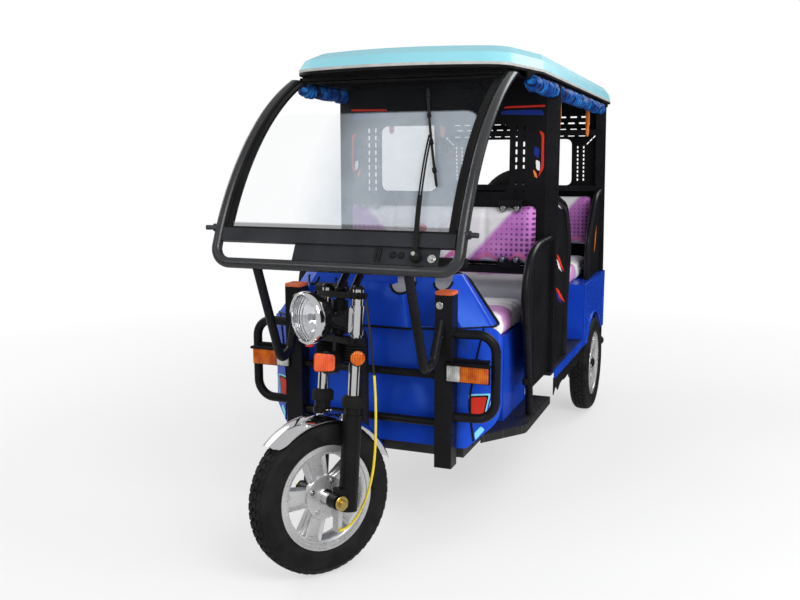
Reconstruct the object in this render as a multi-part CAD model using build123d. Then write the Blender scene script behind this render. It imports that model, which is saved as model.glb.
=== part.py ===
from build123d import *
import math
import os

# Millimetres. x runs forward from the rear axle, y to the left, z up from the ground.
# Every node is moved by REAR_AXLE_X at the end, which puts the origin under the middle of the box.
REAR_AXLE_X = -977.0
WHEELBASE = 2205.0
TYRE_R = 245.0
TYRE_W = 97.0
RIM_R = 166.0
RIM_W = 78.0
STEER_DEG = 31.0
RAKE_DEG = 8.0
FORK_OFFSET = 37.0
LEG_LEAD = 45.0
FORK_SPREAD = 172.0
BODY_W = 960.0
FLOOR_Z = 430.0
STEP_Z = 335.0
FLOOR_T = 12.0
RAIL_H = 48.0
RAIL_W = 40.0
SEAT_Z = 700.0
DRIVER_SEAT_Z = 655.0
ROOF_Z = 1604.0
SHEET = 4.0
FIT = 0.3
RUN_FIT = 0.05

# Places across the car, each held in from the body's side.
HALF = BODY_W / 2
WHEEL_Y = HALF - 35.0
RAIL_Y = HALF - 180.0
ROOF_HALF = HALF - 17.0
HOOP_Y = HALF - 67.0
PILLAR_Y = HALF - 29.0
POST_Y = HALF - 202.0
SEAT_Y = HALF - 55.0
QUARTER_IN = HALF - 108.0
BOARD_IN = HALF - 125.0
WINDOW_Y = HALF - 190.0
NOSE_Y = HALF / 3

AXIS_X = WHEELBASE - FORK_OFFSET
LEG_X = FORK_OFFSET - LEG_LEAD
RIM_SEAT = RIM_R - 14.0
CUT = 6000.0

# Frames under the roof.
FRAME_T = 16.0
FRAME_Z = ROOF_Z - FRAME_T
HOOP_D = 34.0
HOOP_R = 1019.0
HOOP_BEND = 55.0
PILLAR_W = 46.0

# Stations along the car.
PANEL_X = 1822.0
DRIVER_FLOOR_X = 1780.0
STEP_BACK_X = 1090.0
PARTITION_X = 1010.0
PILLAR_D = 50.0
BENCH_X = 680.0
REAR_BOX_X = 327.0
TAIL_X = -310.0
POST_W = 60.0
POST_TOP = 860.0
ROOF_BACK = TAIL_X - 155.0

# The hoop's side is an arc of HOOP_R between its foot and its head under the roof.
HOOP_FOOT = (WHEELBASE - 68.2, ROOF_Z - 587.4)
HOOP_HEAD = (WHEELBASE - 698.1, ROOF_Z)
HOOP_CHORD = math.dist(HOOP_FOOT, HOOP_HEAD)
HOOP_DEPTH = math.sqrt(HOOP_R ** 2 - HOOP_CHORD ** 2 / 4)
HOOP_CX = (HOOP_FOOT[0] + HOOP_HEAD[0]) / 2 - HOOP_DEPTH * (HOOP_HEAD[1] - HOOP_FOOT[1]) / HOOP_CHORD
HOOP_CZ = (HOOP_FOOT[1] + HOOP_HEAD[1]) / 2 - HOOP_DEPTH * (HOOP_FOOT[0] - HOOP_HEAD[0]) / HOOP_CHORD
HOOP_LOW = math.degrees(math.atan2(HOOP_FOOT[1] - HOOP_CZ, HOOP_FOOT[0] - HOOP_CX))
HOOP_HIGH = math.degrees(math.atan2(HOOP_HEAD[1] - HOOP_CZ, HOOP_HEAD[0] - HOOP_CX))
ROOF_TIP = HOOP_HEAD[0] + 183.0

# Crown of the tread and the lean of the steered wheel give the front wheel its height.
CROWN_DROP = 14.0
CROWN_HALF = 40.0
CROWN_R = (CROWN_HALF ** 2 + CROWN_DROP ** 2) / (2 * CROWN_DROP)
RAKE = math.radians(RAKE_DEG)
STEER = math.radians(STEER_DEG)
LEAN = math.asin(math.sin(RAKE) * math.sin(STEER))
WHEEL_Z = (TYRE_R - CROWN_R) * math.cos(LEAN) + CROWN_R
AXIS_Z = WHEEL_Z - FORK_OFFSET * math.sin(RAKE) * math.cos(STEER)
STRAIGHT = Pos(AXIS_X, 0, AXIS_Z) * Rot(0, -RAKE_DEG, 0)
STEERED = STRAIGHT * Rot(0, 0, -STEER_DEG)


def box(x0, x1, y0, y1, z0, z1):
    return Pos((x0 + x1) / 2, (y0 + y1) / 2, (z0 + z1) / 2) * Box(x1 - x0, y1 - y0, z1 - z0)


def both(shape):
    return Compound(children=list(shape.solids()) + list(mirror(shape, about=Plane.XZ).solids()))


def rod(a, b, dia):
    line = Line(a, b)
    return sweep(Plane(origin=line @ 0, z_dir=line % 0) * Circle(dia / 2), path=line)


def pipe(points, bend, dia):
    path = FilletPolyline(*points, radius=bend)
    return sweep(Plane(origin=path @ 0, z_dir=path % 0) * Circle(dia / 2), path=path)


def slab(points, y0, y1):
    face = make_face(Polyline(*[(x, 0, z) for x, z in points], close=True))
    return Pos(0, y0, 0) * extrude(face, amount=y1 - y0, dir=(0, 1, 0))


def arc_strip(cx, cz, r0, r1, a0, a1, y0, y1):
    def at(r, a):
        return (cx + r * math.cos(math.radians(a)), 0, cz + r * math.sin(math.radians(a)))
    am = (a0 + a1) / 2
    edges = [
        ThreePointArc(at(r0, a0), at(r0, am), at(r0, a1)),
        Line(at(r0, a1), at(r1, a1)),
        ThreePointArc(at(r1, a1), at(r1, am), at(r1, a0)),
        Line(at(r1, a0), at(r0, a0)),
    ]
    return Pos(0, y0, 0) * extrude(make_face(edges), amount=y1 - y0, dir=(0, 1, 0))


def cushion(x0, x1, half, z0, z1, round_r):
    pad = box(x0, x1, -half, half, z0, z1)
    return fillet(pad.edges().filter_by(Plane.XY, reverse=True) + pad.edges().group_by(Axis.Z)[-1], round_r)


# Wheels, about the y axis.
def tyre():
    bead = RIM_SEAT + FIT
    side = RIM_W / 2 - 4.0 - FIT
    wall = RIM_R + FIT
    mid = (wall + TYRE_R) / 2
    half = TYRE_W / 2
    shoulder = TYRE_R - CROWN_DROP
    edges = [
        Line((bead, -side), (bead, side)),
        Line((bead, side), (wall, side)),
        ThreePointArc((wall, side), (mid, half), (shoulder, CROWN_HALF)),
        ThreePointArc((shoulder, CROWN_HALF), (TYRE_R, 0), (shoulder, -CROWN_HALF)),
        ThreePointArc((shoulder, -CROWN_HALF), (mid, -half), (wall, -side)),
        Line((wall, -side), (bead, -side)),
    ]
    return revolve(make_face(edges), axis=Axis.Y)


def rim(hub_r, hub_in, hub_out, bore_r):
    e = RIM_W / 2
    inner = RIM_SEAT - 18.0
    pts = [(inner, -e), (inner, e), (RIM_R, e), (RIM_R, e - 4), (RIM_SEAT, e - 4),
           (RIM_SEAT, 4 - e), (RIM_R, 4 - e), (RIM_R, -e)]
    shape = revolve(make_face(Polyline(*pts, close=True)), axis=Axis.Y)
    hub = Pos(0, (hub_in + hub_out) / 2, 0) * Rot(90, 0, 0) * Cylinder(hub_r, hub_out - hub_in)
    shape += hub
    for k in range(5):
        for s in (-17.0, 17.0):
            rib = box(hub_r - 14, inner + 3, -17, 17, s - 9, s + 9)
            shape += Rot(0, 72 * k + 18, 0) * rib
    return shape - Rot(90, 0, 0) * Cylinder(bore_r, 300)


# Steering, in its own frame: its axis is z, and the front axle is at x = FORK_OFFSET, ahead of the legs.
LEG_Y = FORK_SPREAD / 2
TUBE_D = 37.0
SLIDER_D = 60.0
SLIDER_LOW = -32.0
SLIDER_TOP = 308.0
SLIDER_NECK = 266.0
LUG_R = 24.0
LUG_W = 40.0
LUG_RISE = 16.0
TUBE_TOP = 655.0
CLAMP_LOW = 486.0
CLAMP_HIGH = 626.0
CLAMP_T = 20.0
CLAMP_BACK = -32.0
CLAMP_ROUND = 24.0
STEM_R = 15.0
AXLE_R = 7.5
GUARD_R = 262.0
HEAD_IN = CLAMP_LOW + CLAMP_T + 6.0
HEAD_OUT = CLAMP_HIGH - 6.0
LAMP_Z = 560.0
LAMP_X = LEG_X + 129.0
LAMP_R = 84.0
LAMP_DEEP = 78.0
BAR_Z = 726.0
BAR_D = 22.0


def upright(x, y, z0, z1, dia):
    return Pos(x, y, (z0 + z1) / 2) * Cylinder(dia / 2, z1 - z0)


def fork_tubes():
    return both(upright(LEG_X, LEG_Y, SLIDER_TOP, TUBE_TOP, TUBE_D) + lamp_ears())


def fork_sliders():
    leg = upright(LEG_X, LEG_Y, SLIDER_LOW, SLIDER_NECK, SLIDER_D)
    leg += upright(LEG_X, LEG_Y, SLIDER_NECK, SLIDER_TOP, SLIDER_D - 8)
    leg += box(LEG_X, FORK_OFFSET, LEG_Y - LUG_W / 2, LEG_Y + LUG_W / 2, -LUG_R, LUG_R + LUG_RISE)
    leg += Pos(FORK_OFFSET, LEG_Y, 0) * Rot(90, 0, 0) * Cylinder(LUG_R, LUG_W)
    leg -= Pos(FORK_OFFSET, LEG_Y, 0) * Rot(90, 0, 0) * Cylinder(AXLE_R + RUN_FIT, 100)
    return both(leg)


def fork_clamps():
    plates = None
    for z in (CLAMP_LOW, CLAMP_HIGH):
        plate = box(CLAMP_BACK, LEG_X + 34, -LEG_Y - 30, LEG_Y + 30, z, z + CLAMP_T)
        plate = fillet(plate.edges().filter_by(Axis.Z), CLAMP_ROUND)
        for y in (LEG_Y, -LEG_Y):
            plate -= Pos(LEG_X, y, z) * Cylinder(TUBE_D / 2 + RUN_FIT, 100)
        plates = plate if plates is None else plates + plate
    return plates + upright(0, 0, CLAMP_LOW, CLAMP_HIGH + CLAMP_T, 2 * STEM_R)


BAR_BACK = -55.0
BAR_HALF = POST_Y - 63.0
BAR_RISE = 25.0
BAR_END = Vector(BAR_BACK - 130, BAR_HALF, BAR_Z + BAR_RISE)
BAR_BEND = Vector(BAR_BACK - 40, BAR_HALF * 0.7, BAR_Z + BAR_RISE)
RISER_Y = 40.0
RISER_D = 24.0


def handlebar():
    half = [(BAR_BACK, 0, BAR_Z), (BAR_BACK, BAR_HALF / 3, BAR_Z), tuple(BAR_BEND), tuple(BAR_END)]
    side = pipe(half, 30, BAR_D)
    bar = side + mirror(side, about=Plane.XZ)
    for y in (RISER_Y, -RISER_Y):
        bar += rod((-14, y, CLAMP_HIGH + CLAMP_T / 2), (BAR_BACK, y, BAR_Z), RISER_D)
    return bar - box(-CUT, CUT, -CUT, CUT, -CUT, CLAMP_HIGH + CLAMP_T)


GRIP_D = 34.0
GRIP_L = 115.0


def grips():
    direction = (BAR_END - BAR_BEND).normalized()
    start = BAR_END + direction * FIT
    return both(rod(tuple(start), tuple(start + direction * GRIP_L), GRIP_D))


DRUM_D = 38.0
DRUM_X = CLAMP_BACK - DRUM_D / 2 - 1.0
DRUM_Z = CLAMP_HIGH + CLAMP_T + 6.0
DRUM_IN = LEG_Y - 30.0


def control_drum():
    drum = rod((DRUM_X, -DRUM_IN, DRUM_Z), (DRUM_X, 73 - POST_Y, DRUM_Z), DRUM_D)
    seat = CLAMP_HIGH + CLAMP_T
    return drum + box(DRUM_X, -2, -DRUM_IN - 10, -DRUM_IN, seat, seat + 8)


def lamp_bowl():
    pts = [(0, 0), (LAMP_R - 6, 0), (LAMP_R - 6, -26), (62, -62), (30, -LAMP_DEEP), (0, -LAMP_DEEP)]
    inner = [(0, 0), (LAMP_R - 10, 0), (LAMP_R - 10, -24), (58, -56), (28, 4 - LAMP_DEEP), (0, 4 - LAMP_DEEP)]
    bowl = revolve(make_face(Polyline(*pts, close=True)), axis=Axis.Y)
    bowl -= revolve(make_face(Polyline(*inner, close=True)), axis=Axis.Y)
    return lamp_at(bowl)


def lamp_at(shape):
    return Pos(LAMP_X, 0, LAMP_Z) * Rot(0, RAKE_DEG, 0) * Rot(0, 0, -90) * shape


def lamp_rim():
    pts = [(LAMP_R - 12, 0), (LAMP_R, 0), (LAMP_R, 12), (LAMP_R - 6, 18), (LAMP_R - 12, 18)]
    return lamp_at(revolve(make_face(Polyline(*pts, close=True)), axis=Axis.Y))


def lamp_lens():
    r = LAMP_R - 12 - FIT
    pts = [(0, 2), (r, 2), (r, 12), (r * 0.85, 16), (r * 0.6, 20), (r * 0.3, 22.5), (0, 23)]
    return lamp_at(revolve(make_face(Polyline(*pts, close=True)), axis=Axis.Y))


def lamp_ears():
    clamp = Pos(LEG_X, LEG_Y, LAMP_Z) * Cylinder(TUBE_D / 2 + 5, 90)
    pts = [(LEG_X + 20, LAMP_Z + 40), (LAMP_X - 22, LAMP_Z + 12), (LAMP_X - 22, LAMP_Z - 14),
           (LEG_X + 20, LAMP_Z - 40)]
    ear = clamp + slab(pts, LAMP_R - 6 + FIT, LAMP_R - 1 + FIT)
    return ear


GUARD_HALF = 50.0
GUARD_FROM = 40.0
GUARD_TO = 156.0


def front_mudguard():
    def strip(r0, r1, y0, y1):
        return arc_strip(FORK_OFFSET, 0, r0, r1, GUARD_FROM, GUARD_TO, y0, y1)
    wing = strip(GUARD_R - 12, GUARD_R + 4, GUARD_HALF, GUARD_HALF + 4)
    lug_y = LEG_Y - SLIDER_D / 2 - FIT
    lug = box(LEG_X - 14, LEG_X + 14, GUARD_HALF + 2, lug_y, GUARD_R - 16, GUARD_R - 6)
    side = wing + lug
    return strip(GUARD_R, GUARD_R + 4, -GUARD_HALF, GUARD_HALF) + side + mirror(side, about=Plane.XZ)


AXLE_END = LEG_Y + 38.0
BRAKE_R = 68.0
BRAKE_IN = 20.0
BRAKE_T = 8.0
ARM_X = FORK_OFFSET - 44.0
ARM_W = 16.0
ARM_OUT = 50.0
ARM_LOW = -112.0


def front_brake():
    def disc(y0, y1, dia):
        return rod((FORK_OFFSET, y0, 0), (FORK_OFFSET, y1, 0), dia)
    brake = disc(-AXLE_END, AXLE_END, 2 * AXLE_R)
    brake += disc(BRAKE_IN, BRAKE_IN + BRAKE_T, 2 * BRAKE_R)
    brake += disc(BRAKE_IN + 6.5, LEG_Y - SLIDER_D / 2 - 0.5, 34)
    brake += disc(-LEG_Y + SLIDER_D / 2 + 1, -41, 30)
    return brake + box(ARM_X - ARM_W / 2, ARM_X + ARM_W / 2, BRAKE_IN, ARM_OUT, ARM_LOW, -30)


HORN_Z = 424.0
HORN_Y = 26.0
HORN_D = 72.0
HORN_X = LEG_X + 35.0
HORN_T = 34.0


def horn():
    body = rod((HORN_X, HORN_Y, HORN_Z), (HORN_X + HORN_T, HORN_Y, HORN_Z), HORN_D)
    return body + box(LEG_X - 6, HORN_X + 5, HORN_Y - 8, HORN_Y + 8, HORN_Z, CLAMP_LOW)


CABLE_D = 8.0
CABLE_BEND = 40.0


def brake_cable():
    y = ARM_OUT + CABLE_D / 2 + FIT
    path = [(CLAMP_BACK + 5, LEG_Y + 16, CLAMP_HIGH - 2), (LEG_X - 30, LEG_Y + 46, 470),
            (LEG_X - 50, LEG_Y + 56, 300), (LEG_X - 64, LEG_Y + 44, 60),
            (ARM_X - 44, y, ARM_LOW + 8), (ARM_X + 4, y, ARM_LOW + 8)]
    return pipe(path, CABLE_BEND, CABLE_D)


# Chassis and body, in the car's own frame.
FRONT_RAIL_TOP = STEP_Z - FLOOR_T
REAR_RAIL_TOP = FLOOR_Z - FLOOR_T
RAIL_TAIL = TAIL_X - 30.0
BUMPER_X = TAIL_X - 90.0
BUMPER_Z = 289.0
BUMPER_D = 42.0
BUMPER_BALL_R = 27.0
NECK_D = 60.0


def group(*shapes):
    return Compound(children=[solid for shape in shapes for solid in shape.solids()])


FRONT_CROSS = (DRIVER_FLOOR_X - 40, 1450.0, STEP_BACK_X + 30)
REAR_CROSS = (BENCH_X - 60, REAR_BOX_X, RAIL_TAIL)
CROSS_W = 40.0


def chassis_frame():
    low, high = FRONT_RAIL_TOP, REAR_RAIL_TOP
    y0, y1 = RAIL_Y - RAIL_W / 2, RAIL_Y + RAIL_W / 2
    ramp = [(STEP_BACK_X - FIT, low), (STEP_BACK_X - 80 + FIT, high), (STEP_BACK_X - 80 + FIT, high - RAIL_H),
            (STEP_BACK_X - FIT, low - RAIL_H)]
    members = [
        both(box(STEP_BACK_X, DRIVER_FLOOR_X, y0, y1, low - RAIL_H, low)),
        both(slab(ramp, y0, y1)),
        both(box(RAIL_TAIL, STEP_BACK_X - 80, y0, y1, high - RAIL_H, high)),
    ]
    inner = y0 - FIT
    for x in FRONT_CROSS:
        members.append(box(x, x + CROSS_W, -inner, inner, low - RAIL_H, low))
    for x in REAR_CROSS:
        members.append(box(x, x + CROSS_W, -inner, inner, high - RAIL_H, high))
    return group(*members)


def steering_neck():
    low = FRONT_RAIL_TOP
    middle = (HEAD_IN + HEAD_OUT) / 2
    head = Pos(0, 0, middle) * Cylinder(STEM_R + 11, HEAD_OUT - HEAD_IN)
    bore = Pos(0, 0, middle) * Cylinder(STEM_R + RUN_FIT, 400)
    top = (STRAIGHT * Pos(-10, 0, middle)).position
    neck_x = PANEL_X + 95
    path = [(top.X, 0, top.Z), (neck_x, 0, top.Z - 90), (neck_x, 0, low - RAIL_H / 2),
            (DRIVER_FLOOR_X + FIT, 0, low - RAIL_H / 2)]
    return pipe(path, 55, NECK_D - 14) + STRAIGHT * head - STRAIGHT * bore


def driver_floor():
    return box(STEP_BACK_X, DRIVER_FLOOR_X, -BOARD_IN, BOARD_IN, STEP_Z - FLOOR_T, STEP_Z)


BOARD_T = 30.0


def running_boards():
    y0, y1 = BOARD_IN + FIT, HALF - 2
    pts = [(STEP_BACK_X, y0), (STEP_BACK_X, y1), (DRIVER_FLOOR_X - 262, y1), (DRIVER_FLOOR_X - 86, y0)]
    face = make_face(Polyline(*pts, close=True))
    face = fillet(face.vertices().group_by(Axis.Y)[-1].sort_by(Axis.X)[-1:], 60)
    return both(Pos(0, 0, STEP_Z - BOARD_T) * extrude(face, amount=BOARD_T))


def passenger_floor():
    y0, y1 = QUARTER_IN - 6, HALF - 6
    back = box(TAIL_X, REAR_BOX_X - FIT, -y0, y0, FLOOR_Z - FLOOR_T, FLOOR_Z)
    return group(back, box(REAR_BOX_X, PARTITION_X + 65, -y1, y1, FLOOR_Z - FLOOR_T, FLOOR_Z))


SILL_H = 37.0


def sills():
    return both(box(REAR_BOX_X + 8, PARTITION_X, HALF - 6, HALF, FLOOR_Z - SILL_H, FLOOR_Z))


PANEL_BASE = 322.0
PANEL_TOP = 735.0
PANEL_BACK = PANEL_X - 172.0
PANEL_PLAN = [(PANEL_BACK, HALF - 38), (PANEL_X - 77, HALF - 52), (PANEL_X, HALF - 150)]


def plan_face(half_points, back_x):
    left = [(back_x, half_points[0][1])] + list(half_points)
    right = [(x, -y) for x, y in reversed(left)]
    return make_face(Polyline(*(left + right), close=True))


def front_panel():
    face = plan_face(PANEL_PLAN, PANEL_BACK - 50)
    corners = [v for v in face.vertices() if v.X > PANEL_BACK + 1]
    face = fillet(corners, 55)
    wall = extrude(face - offset(face, amount=-SHEET), amount=PANEL_TOP - PANEL_BASE)
    wall = Pos(0, 0, PANEL_BASE) * wall
    return wall - box(-CUT, PANEL_BACK, -CUT, CUT, 0, CUT)


COWL_TOP = 905.0
NOSE_X = PANEL_X + 62.0
COWL_BACK = PANEL_X - 132.0
NOTCHES = [(0.72, 66.0, 34.0), (1.52, 50.0, 26.0)]


def cowl_loft(low, high, back, z0, z1, round_r):
    sections = []
    for points, z in ((low, z0), (high, z1)):
        face = plan_face(points, back)
        face = fillet([v for v in face.vertices() if v.X > back + 1], round_r)
        sections.append(Pos(0, 0, z) * face)
    return loft(sections, ruled=True)


def cowl_body(inset):
    z0, back = PANEL_TOP + FIT - (1 if inset else 0), COWL_BACK - 50
    low = [(PANEL_X - 72, HALF - 68 - inset), (PANEL_X - 4 - inset, HALF - 160 - inset)]
    high = [(PANEL_X - 92, HALF - 188 - inset), (PANEL_X - 26 - inset, HALF - 260 - inset)]
    body = cowl_loft(low, high, back, z0, COWL_TOP - inset, 24)
    nose_low = [(NOSE_X - inset, NOSE_Y - inset)]
    nose_high = [(NOSE_X - 30 - inset, NOSE_Y - 30 - inset)]
    return body + cowl_loft(nose_low, nose_high, back, z0, COWL_TOP - 25 - inset, 30)


def front_cowl():
    shell = cowl_body(0) - cowl_body(SHEET)
    for place, width, depth in NOTCHES:
        cut = box(-CUT, CUT, place * NOSE_Y - width / 2, place * NOSE_Y + width / 2, COWL_TOP - 20 - depth, CUT)
        cut = fillet(cut.edges().filter_by(Axis.X).group_by(Axis.Z)[0], width / 2 - 1)
        shell -= cut
    return shell - box(-CUT, COWL_BACK, -CUT, CUT, 0, CUT)


GUARD_BARS = (POST_TOP - 281, POST_TOP - 446)
LOOP_D = 32.0
LOOP_BEND = 62.0
BAR_TUBE = 28.0
SHELF_Z = POST_TOP - 228
LAMP_OUT = HALF - 52.0


def front_guard():
    x0, x1 = PANEL_X, PANEL_X + POST_W
    xm = (x0 + x1) / 2
    post = box(x0, x1, POST_Y - POST_W / 2, POST_Y + POST_W / 2, POST_TOP - 594, POST_TOP)
    edge = POST_Y + POST_W / 2
    outer, top, low = HALF - 33, POST_TOP - 136, POST_TOP - 420
    path = [(xm, edge - 8, top), (xm - 12, outer, top), (xm - 12, outer, low), (xm, edge - 8, low)]
    loop = pipe(path, LOOP_BEND, LOOP_D)
    loop -= box(-CUT, CUT, 0, edge + FIT, 0, POST_TOP)
    shelf = box(xm - 9, xm + 9, edge + FIT, LAMP_OUT, SHELF_Z, SHELF_Z + 10)
    members = [both(post), both(loop), both(shelf), stays()]
    inner = POST_Y - POST_W / 2 - FIT
    for z in GUARD_BARS:
        members.append(rod((xm, -inner, z), (xm, inner, z), BAR_TUBE))
    return group(*members)


def front_indicators():
    xm = PANEL_X + POST_W / 2
    return both(box(xm - 12, xm + 40, POST_Y + POST_W / 2 + 8, LAMP_OUT, SHELF_Z - 72, SHELF_Z))


def hoop_point(angle):
    return (HOOP_CX + HOOP_R * math.cos(math.radians(angle)), HOOP_CZ + HOOP_R * math.sin(math.radians(angle)))


def bottom_tube():
    x, z = hoop_point(HOOP_LOW)
    a = math.radians(HOOP_LOW)
    return x + HOOP_BEND * math.sin(a), z - HOOP_BEND * math.cos(a)


STUB_D = 16.0
STUB_L = 50.0
STUB_SEAT = 24.0
STUB_SEAT_D = 26.0
STUB_LEAN = 12.0


def windscreen_hoop():
    def side(y, sign):
        pts = [hoop_point(HOOP_HIGH), hoop_point((HOOP_HIGH + HOOP_LOW) / 2), hoop_point(HOOP_LOW)]
        return [(x, y * sign, z) for x, z in pts]
    bx, bz = bottom_tube()
    a = math.radians(HOOP_LOW)
    r = HOOP_BEND
    k = 1 - math.sqrt(0.5)
    left, right = side(HOOP_Y, 1), side(HOOP_Y, -1)
    cx, cz = hoop_point(HOOP_LOW)
    down = (1 - k) * r
    mx, mz = cx + down * math.sin(a), cz - down * math.cos(a)
    edges = [
        ThreePointArc(left[0], left[1], left[2]),
        ThreePointArc(left[2], (mx, HOOP_Y - k * r, mz), (bx, HOOP_Y - r, bz)),
        Line((bx, HOOP_Y - r, bz), (bx, -HOOP_Y + r, bz)),
        ThreePointArc((bx, -HOOP_Y + r, bz), (mx, -HOOP_Y + k * r, mz), right[2]),
        ThreePointArc(right[2], right[1], right[0]),
    ]
    path = Wire(edges)
    hoop = sweep(Plane(origin=path @ 0, z_dir=path % 0) * Circle(HOOP_D / 2), path=path)
    hoop -= box(-CUT, CUT, -CUT, CUT, FRAME_Z, CUT)
    sx, sz = hoop_point(HOOP_LOW + 3.5)
    lean = math.radians(STUB_LEAN)
    for s in (1, -1):
        for long, dia in ((STUB_L, STUB_D), (STUB_SEAT, STUB_SEAT_D)):
            tip = (sx + long * math.sin(lean), s * (HOOP_Y + long * math.cos(lean)), sz)
            hoop += rod((sx, s * HOOP_Y, sz), tip, dia)
    return hoop


RAIL_A0 = HOOP_LOW + 0.9
RAIL_A1 = HOOP_LOW + 3.35
GLASS_A1 = HOOP_HIGH - 4.0
SCREEN_Y = HOOP_Y - HOOP_D / 2 - FIT


def screen_rail():
    return arc_strip(HOOP_CX, HOOP_CZ, HOOP_R - 10, HOOP_R + 10, RAIL_A0, RAIL_A1, -SCREEN_Y, SCREEN_Y)


def windscreen():
    return arc_strip(HOOP_CX, HOOP_CZ, HOOP_R - 2, HOOP_R + 2, RAIL_A1, GLASS_A1, -SCREEN_Y, SCREEN_Y)


DASH_LEFT = HOOP_Y - 62.0
DASH_RIGHT = HOOP_Y - 283.0


def dash_front():
    x0, z0 = hoop_point(RAIL_A0)
    bx, bz = bottom_tube()
    return (x0, z0 + SHEET), (bx + SHEET / 2, bz + HOOP_D / 2 + FIT)


def dash_plate():
    (x0, z0), (x1, z1) = dash_front()
    return slab([(x0 - SHEET, z0), (x0, z0), (x1, z1), (x1 - SHEET, z1)], -DASH_RIGHT, DASH_LEFT)


STAY_D = 30.0
STAY_BEND = 34.0


def windscreen_stays():
    bx, bz = bottom_tube()
    px = PANEL_X + POST_W
    y, low = POST_Y - 20, POST_TOP - 235
    pts = [(bx - 4, y, bz - HOOP_D / 2 + 6), (bx - 146, y, low),
           (px + 55, y + 4, low + 15), (px - 4, y + 10, low + 145)]
    return pipe(pts, STAY_BEND, STAY_D)


def stays():
    bx, bz = bottom_tube()
    stay = windscreen_stays()
    stay -= rod((bx, 0, bz), (bx, HALF, bz), HOOP_D + 2 * FIT)
    stay -= box(-CUT, PANEL_X + POST_W + FIT, -CUT, CUT, 0, CUT)
    return both(stay.solids().sort_by(SortBy.VOLUME)[-1])


WIPER_HUB = 0.58
WIPER_HUB_D = 34.0
WIPER_HUB_L = 28.0
ARM_FOOT = (HOOP_LOW - 1.4, DASH_LEFT - 70.0)
ARM_HEAD = (HOOP_LOW + 23.0, DASH_LEFT - 106.4)
BLADE_LOW = (HOOP_LOW + 12.2, DASH_LEFT - 44.5)
BLADE_HIGH = (HOOP_LOW + 38.3, DASH_LEFT - 194.1)


def screen_strip(low, high, r0, r1, half):
    # A strip laid on the screen from one (angle, y) to another, with the curve of that slanting cut.
    middle = (low[0] + high[0]) / 2
    run = math.radians(high[0] - low[0]) * HOOP_R
    slant = math.atan2(low[1] - high[1], run)
    radius = HOOP_R / math.cos(slant) ** 2
    sweep_half = math.degrees(run / math.cos(slant) / radius) / 2
    out = (math.cos(math.radians(middle)), math.sin(math.radians(middle)))
    cx, cz = HOOP_CX + (HOOP_R - radius) * out[0], HOOP_CZ + (HOOP_R - radius) * out[1]
    strip = arc_strip(cx, cz, radius + r0, radius + r1, middle - sweep_half, middle + sweep_half, -half, half)
    strip = strip.rotate(Axis((cx, 0, cz), (out[0], 0, out[1])), math.degrees(slant))
    return Pos(0, (low[1] + high[1]) / 2, 0) * strip


def wiper():
    arm = screen_strip(ARM_FOOT, ARM_HEAD, 16, 22, 6)
    blade = screen_strip(BLADE_LOW, BLADE_HIGH, 4, 17.5, 4)
    (x0, z0), (x1, z1) = dash_front()
    x, z = x0 + (x1 - x0) * WIPER_HUB, z0 + (z1 - z0) * WIPER_HUB
    long = math.dist((x0, z0), (x1, z1))
    out = Vector((z0 - z1) / long, 0, (x1 - x0) / long)
    seat = Vector(x, ARM_FOOT[1], z)
    hub = rod(tuple(seat + out * FIT), tuple(seat + out * WIPER_HUB_L), WIPER_HUB_D)
    return arm + blade + hub


# Cabin.
def seat_shell(x0, x1, half, z0, z1):
    inside = half - SHEET
    return box(x0, x1, -half, half, z0, z1) - box(x0 + SHEET, x1 - SHEET, -inside, inside, z0 - 5, z1 - SHEET)


DRIVER_X = 1500.0
PAD_H = 95.0
PAD_ROUND = 28.0
BACK_T = 72.0
BACK_ROUND = 24.0
BACK_LOW = 868.0
BACK_TOP = 1120.0
RAIL_TOP_Z = 1165.0
PART_FRONT = PARTITION_X + PILLAR_D


def driver_seat_box():
    return seat_shell(PART_FRONT + 90, DRIVER_X, SEAT_Y - 40, STEP_Z, DRIVER_SEAT_Z)


def driver_cushion():
    return cushion(PART_FRONT + 75, DRIVER_X + 45, SEAT_Y - 30, DRIVER_SEAT_Z, DRIVER_SEAT_Z + PAD_H, PAD_ROUND)


def driver_backrest():
    back = box(PART_FRONT, PART_FRONT + BACK_T, 10 - SEAT_Y, SEAT_Y - 10, BACK_LOW, BACK_TOP)
    return fillet(back.edges().group_by(Axis.X)[-1], BACK_ROUND)


SEAT_RAIL_H = 28.0


def partition_frame():
    y0 = PILLAR_Y - PILLAR_W / 2
    members = [both(box(PARTITION_X, PART_FRONT, y0, PILLAR_Y + PILLAR_W / 2, FLOOR_Z, FRAME_Z - FIT))]
    for z in (BACK_LOW, RAIL_TOP_Z - 30):
        members.append(box(PARTITION_X + 16, PART_FRONT - SHEET, FIT - y0, y0 - FIT, z, z + 30))
    rail_y, rail_front = y0 + 20, PART_FRONT + BACK_T - 4
    members.append(box(PART_FRONT, rail_front, -rail_y, rail_y, BACK_LOW - SEAT_RAIL_H, BACK_LOW - FIT))
    return group(*members)


WINDOW_LOW = 1165.0
WINDOW_TOP = 1425.0


def partition_panel():
    y0 = PILLAR_Y - PILLAR_W / 2 - FIT
    panel = box(PART_FRONT - SHEET, PART_FRONT, -y0, y0, BACK_LOW, FRAME_Z - FIT)
    hole = box(PARTITION_X, PART_FRONT + 50, -WINDOW_Y, WINDOW_Y, WINDOW_LOW, WINDOW_TOP)
    return panel - fillet(hole.edges().filter_by(Axis.X), 40)


def bench_box():
    return seat_shell(BENCH_X, PARTITION_X - 2, SEAT_Y, FLOOR_Z, SEAT_Z)


def bench_cushion():
    return cushion(BENCH_X - 30, PARTITION_X - 2, SEAT_Y, SEAT_Z, SEAT_Z + PAD_H, PAD_ROUND)


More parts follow.
